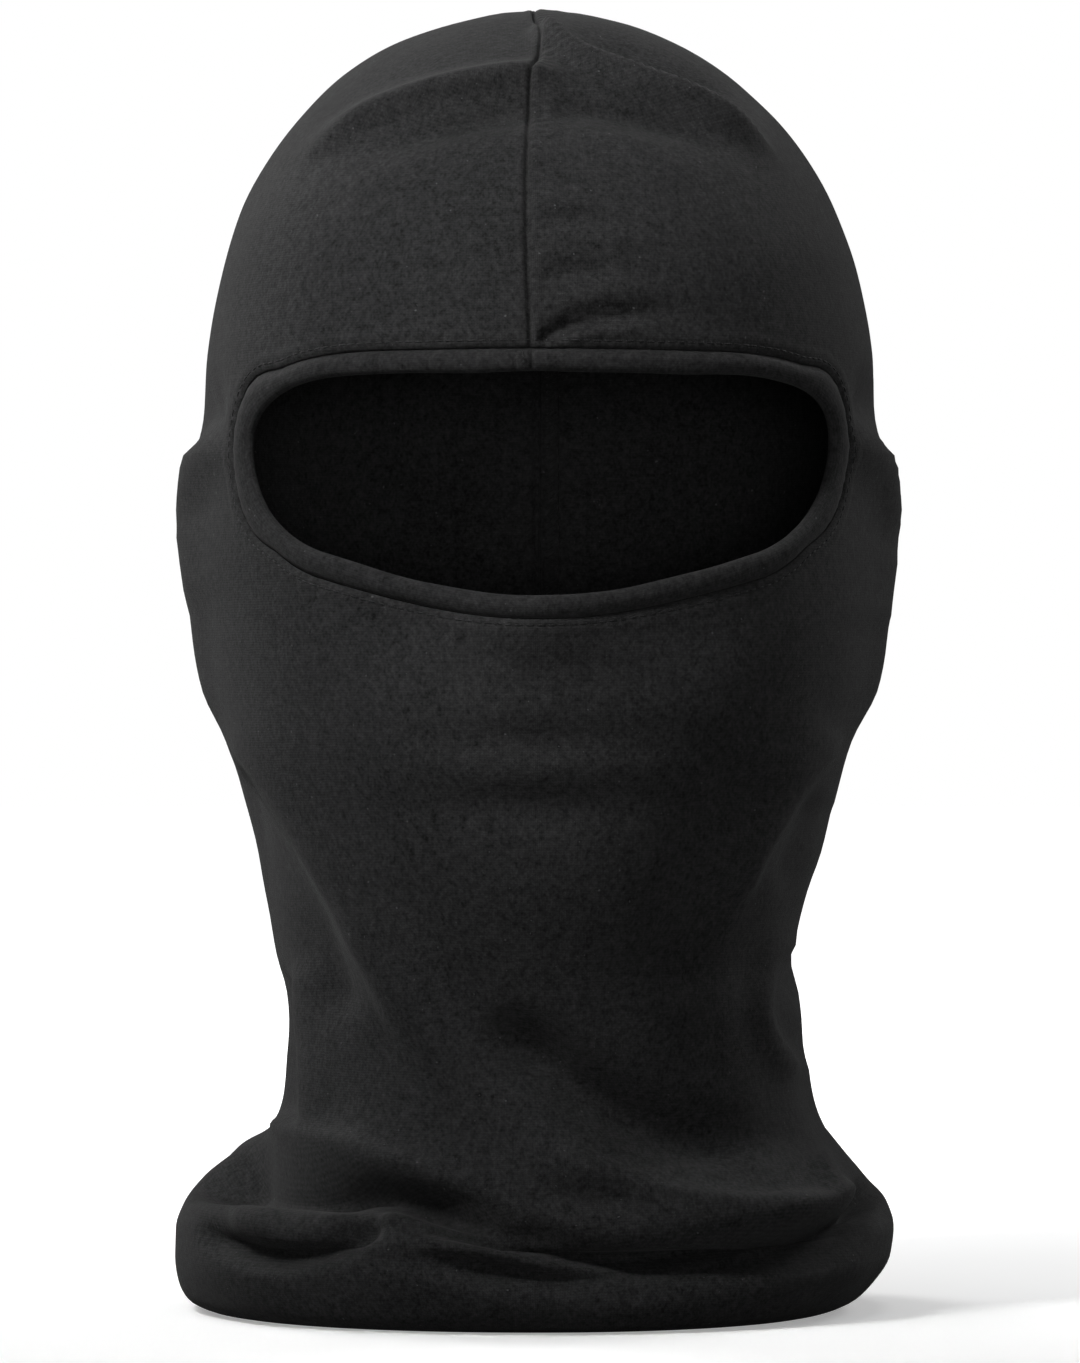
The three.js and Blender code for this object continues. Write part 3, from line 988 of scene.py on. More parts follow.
    def edge_strip(self, first: int) -> tuple[Array, Array, list[tuple[int, ...]]]:
        """The cloth beside the eye band, in fine loops that turn in and under at the seam.

        Args:
            first: number of the strip's first corner.
        Returns:
            The corners, their (turn, level), and the faces.
        """
        points, places = [], []
        wave = 0.06 * MM * np.sin(self.opening.run() * 2 * math.pi / STITCH)
        for distance, depth in self.edge:
            turn, level = self.opening.loop(self.form, self.opening.band + distance * MM)
            dip = self.seam.dip(level, turn - self.seam.lean(level))
            outer = self.form.outer(turn, level, depth * MM + dip + wave * (0 < distance < 2.2))
            points.append(outer)
            places.append(np.stack([turn, level], 1))
        faces = grid_faces(len(self.edge), self.opening.steps, False, True)
        faces = [tuple(first + i for i in face) for face in faces]
        return np.vstack(points), np.vstack(places), faces

    def stitched(
        self, name: str, vertices: Array, flat: Array, faces: list[tuple[int, ...]], first: int
    ) -> bpy.types.Object:
        """Joins the grid and the strip into one skin.

        Args:
            name: the object's name.
            vertices: all corners.
            flat: the same corners laid flat, to tell which lie side by side.
            faces: the faces of both.
            first: number of the strip's first corner.
        Returns:
            The object.
        """
        count = self.opening.steps
        last = first + (len(self.edge) - 1) * count
        strip_rim = list(range(last, last + count))
        grid_rim = self.cut_rim(flat, faces, first, last)
        piece = object_from(name, vertices, faces + between_loops(flat, grid_rim, strip_rim))
        work = bmesh.new()
        work.from_mesh(piece.data)
        work.verts.ensure_lookup_table()
        bmesh.ops.recalc_face_normals(work, faces=work.faces)
        apex = work.verts[first - 1]
        if apex.link_faces[0].normal.z < 0:
            bmesh.ops.reverse_faces(work, faces=work.faces)
        for face in work.faces:
            face.smooth = True
        work.to_mesh(piece.data)
        work.free()
        return piece

    @staticmethod
    def cut_rim(flat: Array, faces: list[tuple[int, ...]], first: int, last: int) -> list[int]:
        """Walks round the hole that is left in the grid for the strip.

        Args:
            flat: all corners laid flat.
            faces: the faces of the grid and the strip.
            first: number of the strip's first corner.
            last: number of the first corner of the strip's outermost loop.
        Returns:
            The numbers of the hole's corners, in order.
        """
        seen: dict[tuple[int, int], int] = {}
        for face in faces:
            for a, b in zip(face, (*face[1:], face[0])):
                key = (min(a, b), max(a, b))
                seen[key] = seen.get(key, 0) + 1
        margin = 0.02
        low, high = flat[last:].min(0) - margin, flat[last:].max(0) + margin
        rim = [
            pair for pair, times in seen.items()
            if times == 1 and max(pair) < first - 1
            and all((flat[i] > low).all() and (flat[i] < high).all() for i in pair)
        ]
        after: dict[int, list[int]] = {}
        for a, b in rim:
            after.setdefault(a, []).append(b)
            after.setdefault(b, []).append(a)
        walk = list(rim[0])
        while True:
            step = [i for i in after[walk[-1]] if i != walk[-2]][0]
            if step == walk[0]:
                return walk
            walk.append(step)

    def laid_flat(self, turn: Array, level: Array) -> tuple[Array, Array]:
        """Measures along the cloth.

        Args:
            turn: turns.
            level: levels.
        Returns:
            The distance of each place from the middle of the front, round its own ring, and its
            distance from the hem's raw edge, up the side; both in metres.
        """
        fine = np.linspace(0, math.pi, 60)
        ring_level = np.linspace(0, CROWN, 240)
        grid_turn, grid_level = np.meshgrid(fine, ring_level)
        ring = self.form.bare(grid_turn, grid_level)
        arc = np.zeros(ring.shape[:2])
        arc[:, 1:] = np.cumsum(np.linalg.norm(np.diff(ring, axis=1), axis=2), axis=1)
        up = np.zeros(len(ring_level))
        up[1:] = np.cumsum(np.linalg.norm(np.diff(ring[:, 20], axis=0), axis=1))
        a, b = np.abs(turn) / math.pi * (len(fine) - 1), level / CROWN * (len(ring_level) - 1)
        i = np.clip(a.astype(int), 0, len(fine) - 2)
        j = np.clip(b.astype(int), 0, len(ring_level) - 2)
        p, q = a - i, b - j
        before = (1 - p) * (1 - q) * arc[j, i] + p * (1 - q) * arc[j, i + 1]
        round_it = before + (1 - p) * q * arc[j + 1, i] + p * q * arc[j + 1, i + 1]
        return round_it * np.sign(turn), np.interp(level, ring_level, up)

    def write_pattern(self, piece: bpy.types.Object, places: Array) -> None:
        """Writes the flat pattern, in metres, and the place beside the seam, as UV maps.

        Args:
            piece: the panel.
            places: the (turn, level) of each corner.
        """
        turn, level = places.T
        u, v = self.laid_flat(turn, level)
        own = turn - self.seam.lean(level) * (np.abs(turn) < 1)
        seamed = (np.cos(own) < 0) | (level > self.seam.start())
        far = 1.0
        across = np.where(seamed, np.sin(own) * self.form.track("right", level), far)
        mesh = piece.data
        number = corner_numbers(mesh)
        face = np.repeat(np.arange(len(mesh.polygons)), [p.loop_total for p in mesh.polygons])
        turns = turn[number]
        behind = np.zeros((2, len(mesh.polygons)))
        np.maximum.at(behind[0], face, turns)
        np.maximum.at(behind[1], face, -turns)
        wraps = ((behind[0] > 2) & (behind[1] > 2))[face] & (turns < 0)
        write_map(mesh, "pattern", np.stack([np.where(wraps, -1, 1) * u[number], v[number]], 1))
        write_map(mesh, "beside_seam", np.stack([across[number], v[number]], 1))

    @staticmethod
    def trim_loose(piece: bpy.types.Object) -> None:
        """Deletes corners that no face uses.

        Args:
            piece: the panel.
        """
        work = bmesh.new()
        work.from_mesh(piece.data)
        loose = [v for v in work.verts if not v.link_faces]
        bmesh.ops.delete(work, geom=loose, context="VERTS")
        work.to_mesh(piece.data)
        work.free()


# ---------------------------------------------------------------------------- folds of the cloth


CROWN_FOLDS: tuple[Fold, ...] = (
    Fold(((-58, 264), (-52, 269.5), (-44, 274), (-30, 279.5), (-15, 283.5), (0, 285.5), (13, 285)),
         5.2, 4.0, 1.8, start_fade=0.35, end_fade=0.25),
    Fold(((-46, 266), (-38, 270), (-25, 274.5), (-10, 278), (0, 278.5), (10, 278)), -3.2, 2.0, 4.5,
         start_fade=0.45, end_fade=0.25),
    Fold(((-2, 301), (3, 297), (10, 291), (22, 286), (37, 280.5), (50, 273), (57, 266)), 5.2, 1.5, 3.0,
         start_fade=0.10, end_fade=0.3),
    Fold(((4, 301), (14, 295), (26, 290), (40, 284), (53, 275)), -5.5, 5.0, 1.8,
         start_fade=0.3, end_fade=0.35),
    Fold(((2, 280), (16, 279.5), (31, 275.5), (46, 268.5)), -3.0, 1.9, 4.5, start_fade=0.15, end_fade=0.45),
    Fold(((0, 224.6), (4, 227.4), (9.4, 229.7), (21, 231.6), (33, 232), (42, 231)), -2.1, 1.3, 2.2,
         start_fade=0.03, end_fade=0.6),
    Fold(((3, 231), (9, 234), (20, 235.6), (34, 235.8)), 1.1, 2.4, 1.6, end_fade=0.6),
    Fold(((6, 224.8), (14, 226.8), (28, 227.6)), 0.8, 1.2, 1.4, end_fade=0.5),
    Fold(((1, 240), (9, 240.8), (20, 240)), -0.9, 1.6, 1.4, start_fade=0.05, end_fade=0.6),
    Fold(((1, 244), (12, 244.6), (24, 243.6)), 0.5, 1.8, 1.8, start_fade=0.05, end_fade=0.6),
    Fold(((1, 247.8), (12, 248.3), (30, 246.2)), 0.7, 2.0, 1.5, start_fade=0.05, end_fade=0.6),
    Fold(((1, 251.4), (10, 252), (20, 251)), -0.7, 1.5, 1.4, start_fade=0.05, end_fade=0.6),
    Fold(((1, 256), (8, 256.4), (18, 255.5)), 0.7, 2.0, 1.4, start_fade=0.05, end_fade=0.6),
    Fold(((1, 262), (8, 262.2), (14, 261.5)), -0.4, 1.8, 1.5, start_fade=0.05, end_fade=0.6),
)
FACE_FOLDS: tuple[Fold, ...] = (
    Fold(((-88, 213), (-80, 211), (-71, 210)), -3.4, 7.0, 3.0, end_fade=0.3),
    Fold(((-91, 184), (-84, 192), (-78, 201), (-73, 207)), 4.4, 2.2, 4.5, end_fade=0.3),
    Fold(((-84, 186), (-82, 176), (-80, 165)), 1.8, 8, 8),
    Fold(((90, 213), (80, 212), (72, 211)), -3.4, 3.0, 7.0, end_fade=0.3),
    Fold(((91, 184), (84, 193), (78, 202), (73, 208)), 4.4, 4.5, 2.2, end_fade=0.3),
    Fold(((84, 180), (82, 172), (80, 160)), 1.4, 8, 8),
    Fold(((-84, 45.5), (-68, 46.5), (-54, 49.5)), -3.6, 2.8, 2.4, end_fade=0.5),
    Fold(((-72, 143), (-66, 130), (-57, 117), (-47, 101), (-38, 86), (-31, 72), (-24, 58)), 2.2, 10, 3.4),
    Fold(((-76, 130), (-66, 116), (-57, 101), (-50, 86), (-44, 68)), -3.2, 4.5, 7),
    Fold(((71, 138), (60, 124), (54, 115), (49, 106), (45, 96)), 2.6, 2.4, 8),
    Fold(((66, 122), (60, 110), (56, 100)), -2.2, 5, 3),
    Fold(((52, 134), (37, 108), (30, 77)), -2.2, 9, 8),
    Fold(((62, 90), (54, 84), (52, 74), (54, 65), (61, 55)), 2.0, 2.6, 2.6),
    Fold(((66, 84), (59, 76), (59, 67), (66, 59)), -3.0, 3.0, 3.0),
    Fold(((-56, 84), (-54, 63), (-54, 44)), 2.0, 5, 1.6),
    Fold(((-61, 82), (-58, 62), (-58, 43)), -3.0, 2.0, 3.0),
    Fold(((-45, 99), (-26, 67), (-4, 47), (23, 35)), 1.5, 7, 5),
    Fold(((-34, 104), (-16, 76), (-2, 60)), -1.2, 6, 6),
)
GATHER_FOLDS: tuple[Fold, ...] = (
    Fold(((-14, 75), (-2, 64), (10, 55), (23, 48), (37, 43.5), (53, 40.5), (66, 42)), -8.0, 6.5, 6.0,
         start_fade=0.22, end_fade=0.5),
    Fold(((-12, 46), (5, 40.5), (18, 35.5), (35.5, 30.5), (62, 27.5), (82, 27)), 3.2, 3.0, 6.0,
         start_fade=0.3),
    Fold(((-94, 34), (-76, 36.5), (-62, 37.2), (-50, 36.6), (-38, 33.8), (-26, 29.8), (-10, 24.7),
          (4, 20.5), (16, 18), (27, 17), (53, 19.5), (71, 22.5), (78, 28), (84, 32)),
         -12.0, 3.6, 3.2, start_fade=0.02, end_fade=0.04),
    Fold(((-80, 41), (-67, 42.5), (-50, 42), (-34, 38.5), (-16, 33)), 2.2, 4.0, 2.6,
         start_fade=0.35, end_fade=0.3),
    Fold(((-80, 22), (-69, 17.6), (-60, 16.6), (-50, 18.6), (-41, 23), (-34, 29)), -7.0, 3.4, 2.6),
    Fold(((-73, 24), (-58, 23.4)), 2.4, 4.0, 4.0, start_fade=0.4, end_fade=0.4),
    Fold(((-92, 29.5), (-76, 31.5), (-62, 32.3), (-48, 32), (-34, 29.5)), -11.0, 3.4, 2.8, end_fade=0.3),
    Fold(((38, 15.5), (56, 15.5), (70, 18), (79, 23)), -3.6, 3.6, 3.2, start_fade=0.4),
    Fold(((-45, 18), (-39, 24.5), (-32, 27.5), (-22, 27.2), (-8, 24.5), (5, 21), (23, 17), (32, 15)),
         4.0, 1.7, 2.2, start_fade=0.35, end_fade=0.35),
    Fold(((-31, 24.6), (-13, 22), (5, 18), (30, 14)), -4.2, 1.5, 1.6, start_fade=0.3, end_fade=0.4),
    Fold(((-34, 21.5), (-15, 20), (0, 17), (16, 14)), 2.2, 1.7, 2.0, start_fade=0.3, end_fade=0.4),
    Fold(((-36, 18.5), (-13, 16), (5, 13), (23, 12), (46, 13), (66, 17), (78, 22)), -5.0, 2.4, 3.8,
         start_fade=0.25),
    Fold(((64, 40), (69, 31), (79, 26)), 2.2, 2.2, 2.2),
    Fold(((78, 34), (84, 22)), -1.6, 2.4, 2.4),
)
BACK_FOLDS: tuple[Fold, ...] = (
    Fold(((60, 96), (40, 88), (16, 84), (-10, 86), (-36, 92), (-56, 101)), -1.6, 5, 4, Facing.BACK),
    Fold(((58, 84), (34, 75), (8, 73), (-22, 77), (-52, 88)), 1.8, 4, 3, Facing.BACK),
    Fold(((54, 66), (24, 61), (-8, 64), (-40, 61), (-58, 55)), -2.6, 4.5, 3.5, Facing.BACK),
    Fold(((-60, 46), (-36, 53), (-6, 50), (26, 43), (58, 41)), 2.4, 4, 4, Facing.BACK),
    Fold(((-84, 26), (-60, 30), (-34, 28), (-6, 24), (20, 27), (48, 31), (82, 29)),
         -7.5, 3.2, 2.8, Facing.BACK, 0.05, 0.05),
    Fold(((-50, 21), (-24, 18), (4, 16), (30, 19), (58, 22)), -3.6, 2.4, 3.0, Facing.BACK),
    Fold(((12, 36), (34, 39), (60, 36)), 2.8, 4, 3, Facing.BACK),
    Fold(((-66, 36), (-44, 39), (-20, 34)), 2.8, 4, 3, Facing.BACK),
    Fold(((1.5, 150), (10, 151), (22, 149)), 0.7, 2.4, 2.0, Facing.BACK, 0.05, 0.6),
    Fold(((1.5, 128), (12, 127), (26, 129)), 0.9, 2.6, 2.0, Facing.BACK, 0.05, 0.6),
    Fold(((-1.5, 118), (-12, 116), (-28, 119)), 0.8, 2.6, 2.2, Facing.BACK, 0.05, 0.6),
    Fold(((1.5, 104), (12, 103), (30, 107)), -1.0, 2.4, 2.4, Facing.BACK, 0.05, 0.6),
)
SIDE_FOLDS: tuple[Fold, ...] = (
    Fold(((-48, 118), (-20, 104), (12, 92), (48, 88)), -1.8, 6, 4, Facing.LEFT),
    Fold(((-44, 100), (-14, 84), (20, 76), (52, 78)), 2.0, 5, 3.4, Facing.LEFT),
    Fold(((-50, 78), (-18, 64), (16, 58), (46, 62)), -2.6, 5, 4, Facing.LEFT),
    Fold(((-60, 31), (-30, 32), (2, 29), (34, 27), (70, 29)), -6.5, 3.2, 2.8, Facing.LEFT, 0.1, 0.1),
    Fold(((-46, 20), (-12, 17), (24, 19), (56, 22)), -3.0, 2.6, 3.0, Facing.LEFT),
    Fold(((-56, 38), (-20, 40), (20, 36), (56, 38)), 2.6, 4, 3, Facing.LEFT),
    Fold(((-50, 122), (-22, 106), (10, 96), (50, 93)), -1.6, 4, 6, Facing.RIGHT),
    Fold(((-46, 98), (-10, 86), (24, 82), (54, 86)), 1.8, 3.4, 5, Facing.RIGHT),
    Fold(((-40, 76), (-8, 68), (26, 66), (52, 72)), -2.2, 4, 5, Facing.RIGHT),
    Fold(((-58, 24), (-28, 28), (6, 32), (38, 30), (72, 28)), -6.5, 2.8, 3.2, Facing.RIGHT, 0.1, 0.1),
    Fold(((-40, 15), (-6, 18), (26, 20), (58, 19)), -3.0, 3.0, 2.6, Facing.RIGHT),
    Fold(((-50, 34), (-16, 38), (22, 41), (58, 38)), 2.6, 3, 4, Facing.RIGHT),
)
FOLDS: tuple[Fold, ...] = CROWN_FOLDS + FACE_FOLDS + GATHER_FOLDS + BACK_FOLDS + SIDE_FOLDS


# ---------------------------------------------------------------------------- the eye band


def looper_thread(
    name: str, corners: Sequence[Array], lift: Array, diameter: float, loop: bool
) -> bpy.types.Object:
    """A looper thread that repeats one zigzag.

    Args:
        name: the object's name.
        corners: the corners of the zigzag, each as one point for every repeat.
        lift: a direction across the thread at every repeat.
        diameter: how thick the thread is.
        loop: whether it meets itself.
    Returns:
        The object.
    """
    path = np.stack(corners, 1).reshape(-1, 3)
    return swept(name, path, np.repeat(lift, len(corners), 0), thread_section(diameter), loop)


def stitches(name: str, path: Array, lift: Array, long: float, diameter: float) -> bpy.types.Object:
    """A row of equal stitches, modelled once and copied along a line.

    Args:
        name: the object's name.
        path: the middle of each stitch, in order.
        lift: the outward direction at each.
        long: length of a stitch.
        diameter: thickness of its thread.
    Returns:
        The object.
    """
    share = np.array([-1.0, -0.86, -0.5, 0.0, 0.5, 0.86, 1.0])
    sink = np.array([-0.95, -0.35, 0.0, 0.06, 0.0, -0.35, -0.95]) * diameter
    thick = np.array([0.5, 0.85, 1.0, 1.0, 1.0, 0.85, 0.5])
    ring = thread_section(diameter)
    along = unit(np.gradient(path, axis=0))
    side = unit(np.cross(along, lift))
    one = tube_faces(len(share), len(ring))
    vertices, faces = [], []
    for place, a, s, up in zip(path, along, side, lift):
        first = len(vertices) * len(share) * len(ring)
        centre = place + a * share[:, None] * long / 2 + up * sink[:, None]
        round_it = s * ring[None, :, :1] + up * ring[None, :, 1:]
        body = centre[:, None] + thick[:, None, None] * round_it
        vertices.append(body.reshape(-1, 3))
        faces += [tuple(first + i for i in face) for face in one]
    piece = object_from(name, np.vstack(vertices), faces)
    face_outwards(piece)
    return piece


def even_loop(points: Array, lift: Array, pitch: float) -> tuple[Array, Array]:
    """Spaces points evenly round a loop.

    Args:
        points: the loop.
        lift: a direction at each point.
        pitch: the wanted spacing.
    Returns:
        The new points and directions.
    """
    shut, up = np.vstack([points, points[:1]]), np.vstack([lift, lift[:1]])
    run = run_along(shut)
    count = max(3, round(run[-1] / pitch))
    even = np.linspace(0, run[-1], count, endpoint=False)
    return read_at(even, run, shut), unit(read_at(even, run, up))


@dataclass
class EyeBand:
    """The folded band round the eye opening, with its flange and every row sewn through it.

    section holds (distance from the opening's edge, depth below the hood's face) round the
    band, overlock the two edges of the looper thread, and notches (height, place, width) of the
    dents beside the join; all in millimetres. row is how far the stitches lie from the band.
    """

    form: HoodForm
    opening: EyeOpening
    section: tuple[tuple[float, float], ...] = (
        (0.0, 1.3), (-0.05, 0.8), (0.1, 0.2), (0.5, -0.35), (1.2, -0.75), (2.4, -0.95),
        (3.4, -0.8), (4.2, -0.38), (4.8, 0.15), (5.2, 0.6), (5.32, 1.05), (5.5, 1.5),
        (6.5, 1.62), (8.5, 1.66), (10.4, 1.7), (10.6, 1.95), (10.4, 2.2), (8.0, 2.25),
        (6.0, 2.25), (4.0, 2.35), (2.0, 2.3), (0.8, 2.1), (0.2, 1.8),
    )
    row: float = 1.5 * MM
    overlock: tuple[float, float] = (7.8, 10.9)
    join_at: float = 2.7
    notches: tuple[tuple[float, float, float], ...] = ((0.5, 4.7, 0.4), (0.6, 0.8, 0.4))

    def place(self, distance: Array | float, depth: Array | float) -> Array:
        """Points round the opening.

        Args:
            distance: distance from its edge, in metres.
            depth: depth below the hood's outer face.
        Returns:
            One point for each step.
        """
        turn, level = self.opening.loop(self.form, distance)
        return self.form.outer(turn, level, depth)

    def build(self) -> bpy.types.Object:
        """The band itself, a little puckered by its stitches."""
        run = self.opening.run()
        around = run / run[-1] * 2 * math.pi
        pucker = np.sin(run * 2 * math.pi / STITCH)
        slow = 0.35 * np.sin(around * 7 + 1) + 0.3 * np.sin(around * 13 + 2.2)
        past = np.where(run > run[-1] / 2, run - run[-1], run) / MM
        notch = sum(deep * hill(past + at, wide, wide) for deep, at, wide in self.notches)
        notch = notch - 0.28 * np.exp(-(((past + self.join_at) / 1.4) ** 4))
        rows = []
        for distance, depth in self.section:
            crown = float(ramp(-depth, -1.2, 0.6))
            edge = 0.30 * slow * float(ramp(-distance, -4.0, -0.5))
            near = float(hill(np.array(distance - 4.6), 1.6, 1.2))
            down = depth - 0.12 * slow * crown + 0.10 * pucker * near + notch * crown
            rows.append(self.place((distance + edge) * MM, down * MM))
        faces = grid_faces(self.opening.steps, len(self.section), True, True)
        piece = object_from("eye_binding", np.stack(rows, 1).reshape(-1, 3), faces)
        face_outwards(piece)
        self.write_pattern(piece)
        return piece

    def write_pattern(self, piece: bpy.types.Object) -> None:
        """Writes the band's flat pattern, in metres, as a UV map.

        Args:
            piece: the band.
        """
        count = len(self.section)
        points = np.array([v.co for v in piece.data.vertices]).reshape(-1, count, 3)
        around = np.linalg.norm(points - np.roll(points, 1, 0), axis=2).mean(1).cumsum()
        across = np.linalg.norm(points - np.roll(points, 1, 1), axis=2).mean(0).cumsum()
        number = corner_numbers(piece.data)
        write_map(piece.data, "pattern", np.stack([around[number // count], across[number % count]], 1))

    def out(self, distance: float) -> Array:
        """The outward direction at each step of a loop round the opening."""
        turn, level = self.opening.loop(self.form, distance)
        return self.form.facing(turn, level)

    def needle_row(self) -> bpy.types.Object:
        """The row of stitches that holds the allowances down beside the band."""
        distance = self.opening.band + self.row
        path, up = even_loop(self.place(distance, 0.02 * MM), self.out(distance), STITCH)
        return stitches("eye_band_stitches", path, up, 1.95 * MM, NEEDLE_THREAD)

    def overlock_row(self) -> bpy.types.Object:
        """The looper thread over the raw edges, inside."""
        low, high = self.overlock
        inner, lift = even_loop(self.place(low * MM, 2.5 * MM), self.out(low * MM), 1.7 * MM)
        outer = self.place(high * MM, 2.05 * MM)
        ring = np.vstack([outer, outer[:1]])
        run = np.linspace(0, len(outer), len(inner), endpoint=False) + 0.5 * len(outer) / len(inner)
        tips = read_at(run, np.arange(len(ring)), ring)
        middle = (inner + tips) / 2 - lift * 0.45 * MM
        corners = inner, middle, tips, middle + (np.roll(inner, -1, 0) - inner) / 2
        return looper_thread("eye_band_overlock", corners, lift, LOOPER_THREAD, True)

    def join(self) -> bpy.types.Object:
        """The short seam that closes the band into a ring, just beside the middle of its top."""
        run = self.opening.run()
        index = int(np.abs(run - (run[-1] - self.join_at * MM)).argmin())
        path, lift = [], []
        for distance in np.linspace(0.8, 4.2, 4):
            depth = float(np.interp(distance, *np.array(self.section[1:9]).T)) - 0.3
            path.append(self.place(distance * MM, depth * MM)[index])
            lift.append(self.out(distance * MM)[index])
        return stitches("eye_band_join", np.array(path), np.array(lift), 0.85 * MM, 0.3 * MM)


# ---------------------------------------------------------------------------- seam and hem pieces


@dataclass
class SeamPieces:
    """What lies inside the closing seam: its two raw edges and the threads that hold them.

    layer is the depth that each raw edge takes up, and inside where the first one starts, both
    in millimetres below the cloth's outer face.
    """

    seam: ClosingSeam
    layer: float = 0.55
    inside: float = 0.95

    def allowance(self) -> bpy.types.Object:
        """The seam's two raw edges, laid over to +X inside the hood."""
        half = self.seam.allowance / 2 / MM
        thick = 2 * self.layer + 0.1
        upper = [
            (0.4 - half, thick / 2), (0, thick / 2 + 0.06), (half - 0.3, thick / 2),
            (half, 0.25), (half - 0.4, 0.03),
        ]
        lower = [(across, -up) for across, up in upper[::-1]]
        section = np.array([*upper, *lower, (-half, 0.0)]) * MM
        path, out = self.seam.path((half + 0.3) * MM, (self.inside + thick / 2) * MM)
        x = np.cross(np.gradient(path, axis=0), out)
        section = section * [1.0 if x[:, 0].mean() > 0 else -1.0, 1.0]
        piece = swept("closing_seam_allowance", path, out, section, False)
        around = np.cumsum(np.linalg.norm(np.diff(section, axis=0, prepend=section[-1:]), axis=1))
        ring, side = np.divmod(corner_numbers(piece.data), len(section))
        write_map(piece.data, "pattern", np.stack([around[side], ring * SEAM_SPACING], 1))
        return piece

    def needle_row(self) -> bpy.types.Object:
        """The row of stitches that closes the seam."""
        path, out = self.seam.path(1.0 * MM, (self.inside + 2 * self.layer + 0.3) * MM, 2.6 * MM)
        return stitches("closing_seam_stitches", path, -out, 2.1 * MM, NEEDLE_THREAD)

    def overlock_row(self) -> bpy.types.Object:
        """The looper thread over the raw edges."""
        deep = self.inside + 2 * self.layer + 0.38
        near, out = self.seam.path(2.2 * MM, deep * MM, 1.8 * MM)
        far, _ = self.seam.path(5.75 * MM, (self.inside + self.layer) * MM, 1.8 * MM)
        count = min(len(near), len(far))
        near, far, out = near[:count], far[:count], out[:count]
        half = np.gradient(far, axis=0) / 2
        middle = (near + far) / 2 - out * 0.32 * MM
        corners = near, middle, far + half, middle + half * 1.5
        return looper_thread("closing_seam_overlock", corners, out, LOOPER_THREAD, False)


@dataclass
class NeckHem:
    """The threads of the coverstitched hem, which stands turned under at the foot.

    rows holds the levels of its two needle rows, and pitch their stitch.
    """

    form: HoodForm
    rows: tuple[float, float] = (1.45, 0.775)
    pitch: float = 3.0 * MM

    def circle(self, level: float, depth: float) -> tuple[Array, Array]:
        """A loop round the hem, with a point for each stitch.

        Args:
            level: its level.
            depth: depth below the cloth's outer face, in millimetres.
        Returns:
            The points, and the outward direction at each.
        """
        turn = np.linspace(-math.pi, math.pi, 400, endpoint=False)
        at = np.full(len(turn), level)
        return even_loop(self.form.outer(turn, at, depth * MM), self.form.facing(turn, at), self.pitch)

    def needle_row(self, which: int, name: str) -> bpy.types.Object:
        """One of the two rows of stitches."""
        path, out = self.circle(self.rows[which], -0.08)
        return stitches(name, path, out, 2.4 * MM, 0.36 * MM)

    def looper(self) -> bpy.types.Object:
        """The looper thread that runs between the rows, on the turned layer."""
        deep = 1.78
        low, out = self.circle(self.rows[0], deep)
        high, _ = self.circle(self.rows[1], deep)
        count = min(len(low), len(high))
        low, high, out = low[:count], high[:count], out[:count]
        half = (np.roll(low, -1, 0) - low) / 2
        middle = (low + high) / 2
        corners = low, middle - out * 0.1 * MM, high + half, middle + half * 1.4
        return looper_thread("neck_hem_looper", corners, out, 0.4 * MM, True)


# ---------------------------------------------------------------------------- finishes


class Tree:
    """Adds nodes to one node tree."""

    def __init__(self, tree: bpy.types.NodeTree) -> None:
        """Empties the tree, to build it afresh."""
        self.tree = tree
        tree.nodes.clear()

    def node(self, kind: str, inputs: dict | None = None, **settings: object) -> bpy.types.Node:
        """Adds a node.

        Args:
            kind: its type.
            inputs: a value or an output for each of its inputs, by name or number.
            settings: its other settings.
        Returns:
            The node.
        """
        made = self.tree.nodes.new(kind)
        for key, value in settings.items():
            setattr(made, key, value)
        for key, value in (inputs or {}).items():
            if isinstance(value, bpy.types.NodeSocket):
                self.tree.links.new(value, made.inputs[key])
            else:
                made.inputs[key].default_value = value
        return made

    def math(self, operation: str, *values: object) -> bpy.types.NodeSocket:
        """A Math node's output, for values that are numbers or outputs."""
        return self.node("ShaderNodeMath", dict(enumerate(values)), operation=operation).outputs[0]

    def noise(self, place: bpy.types.NodeSocket, scale: float, detail: float) -> bpy.types.NodeSocket:
        """A Noise Texture's value at a place."""
        inputs = {"Vector": place, "Scale": scale, "Detail": detail}
        return self.node("ShaderNodeTexNoise", inputs).outputs[0]

    def between(self, value: object, low: float, high: float) -> bpy.types.NodeSocket:
        """Maps a value from 0 to 1 onto low to high."""
        inputs = {"Value": value, "To Min": low, "To Max": high}
        return self.node("ShaderNodeMapRange", inputs).outputs[0]

    def scaled(self, colour: Sequence[float], shade: bpy.types.NodeSocket) -> bpy.types.NodeSocket:
        """A colour times a varying shade."""
        return self.node("ShaderNodeVectorMath", {0: colour, "Scale": shade}, operation="SCALE").outputs[0]

    def bumped(self, height: bpy.types.NodeSocket, strength: float, depth: float) -> bpy.types.NodeSocket:
        """The surface's normal, tilted by a height."""
        inputs = {"Height": height, "Strength": strength, "Distance": depth}
        return self.node("ShaderNodeBump", inputs).outputs[0]

    def dress(self, shader: dict) -> None:
        """Ends the tree with a Principled shader that has these inputs."""
        made = self.node("ShaderNodeBsdfPrincipled", shader)
        self.node("ShaderNodeOutputMaterial", {"Surface": made.outputs[0]})


def new_material(name: str) -> tuple[bpy.types.Material, Tree]:
    """A new material.

    Args:
        name: its name.
    Returns:
        The material and its empty node tree.
    """
    material = bpy.data.materials.new(name)
    material.use_nodes = True
    return material, Tree(material.node_tree)


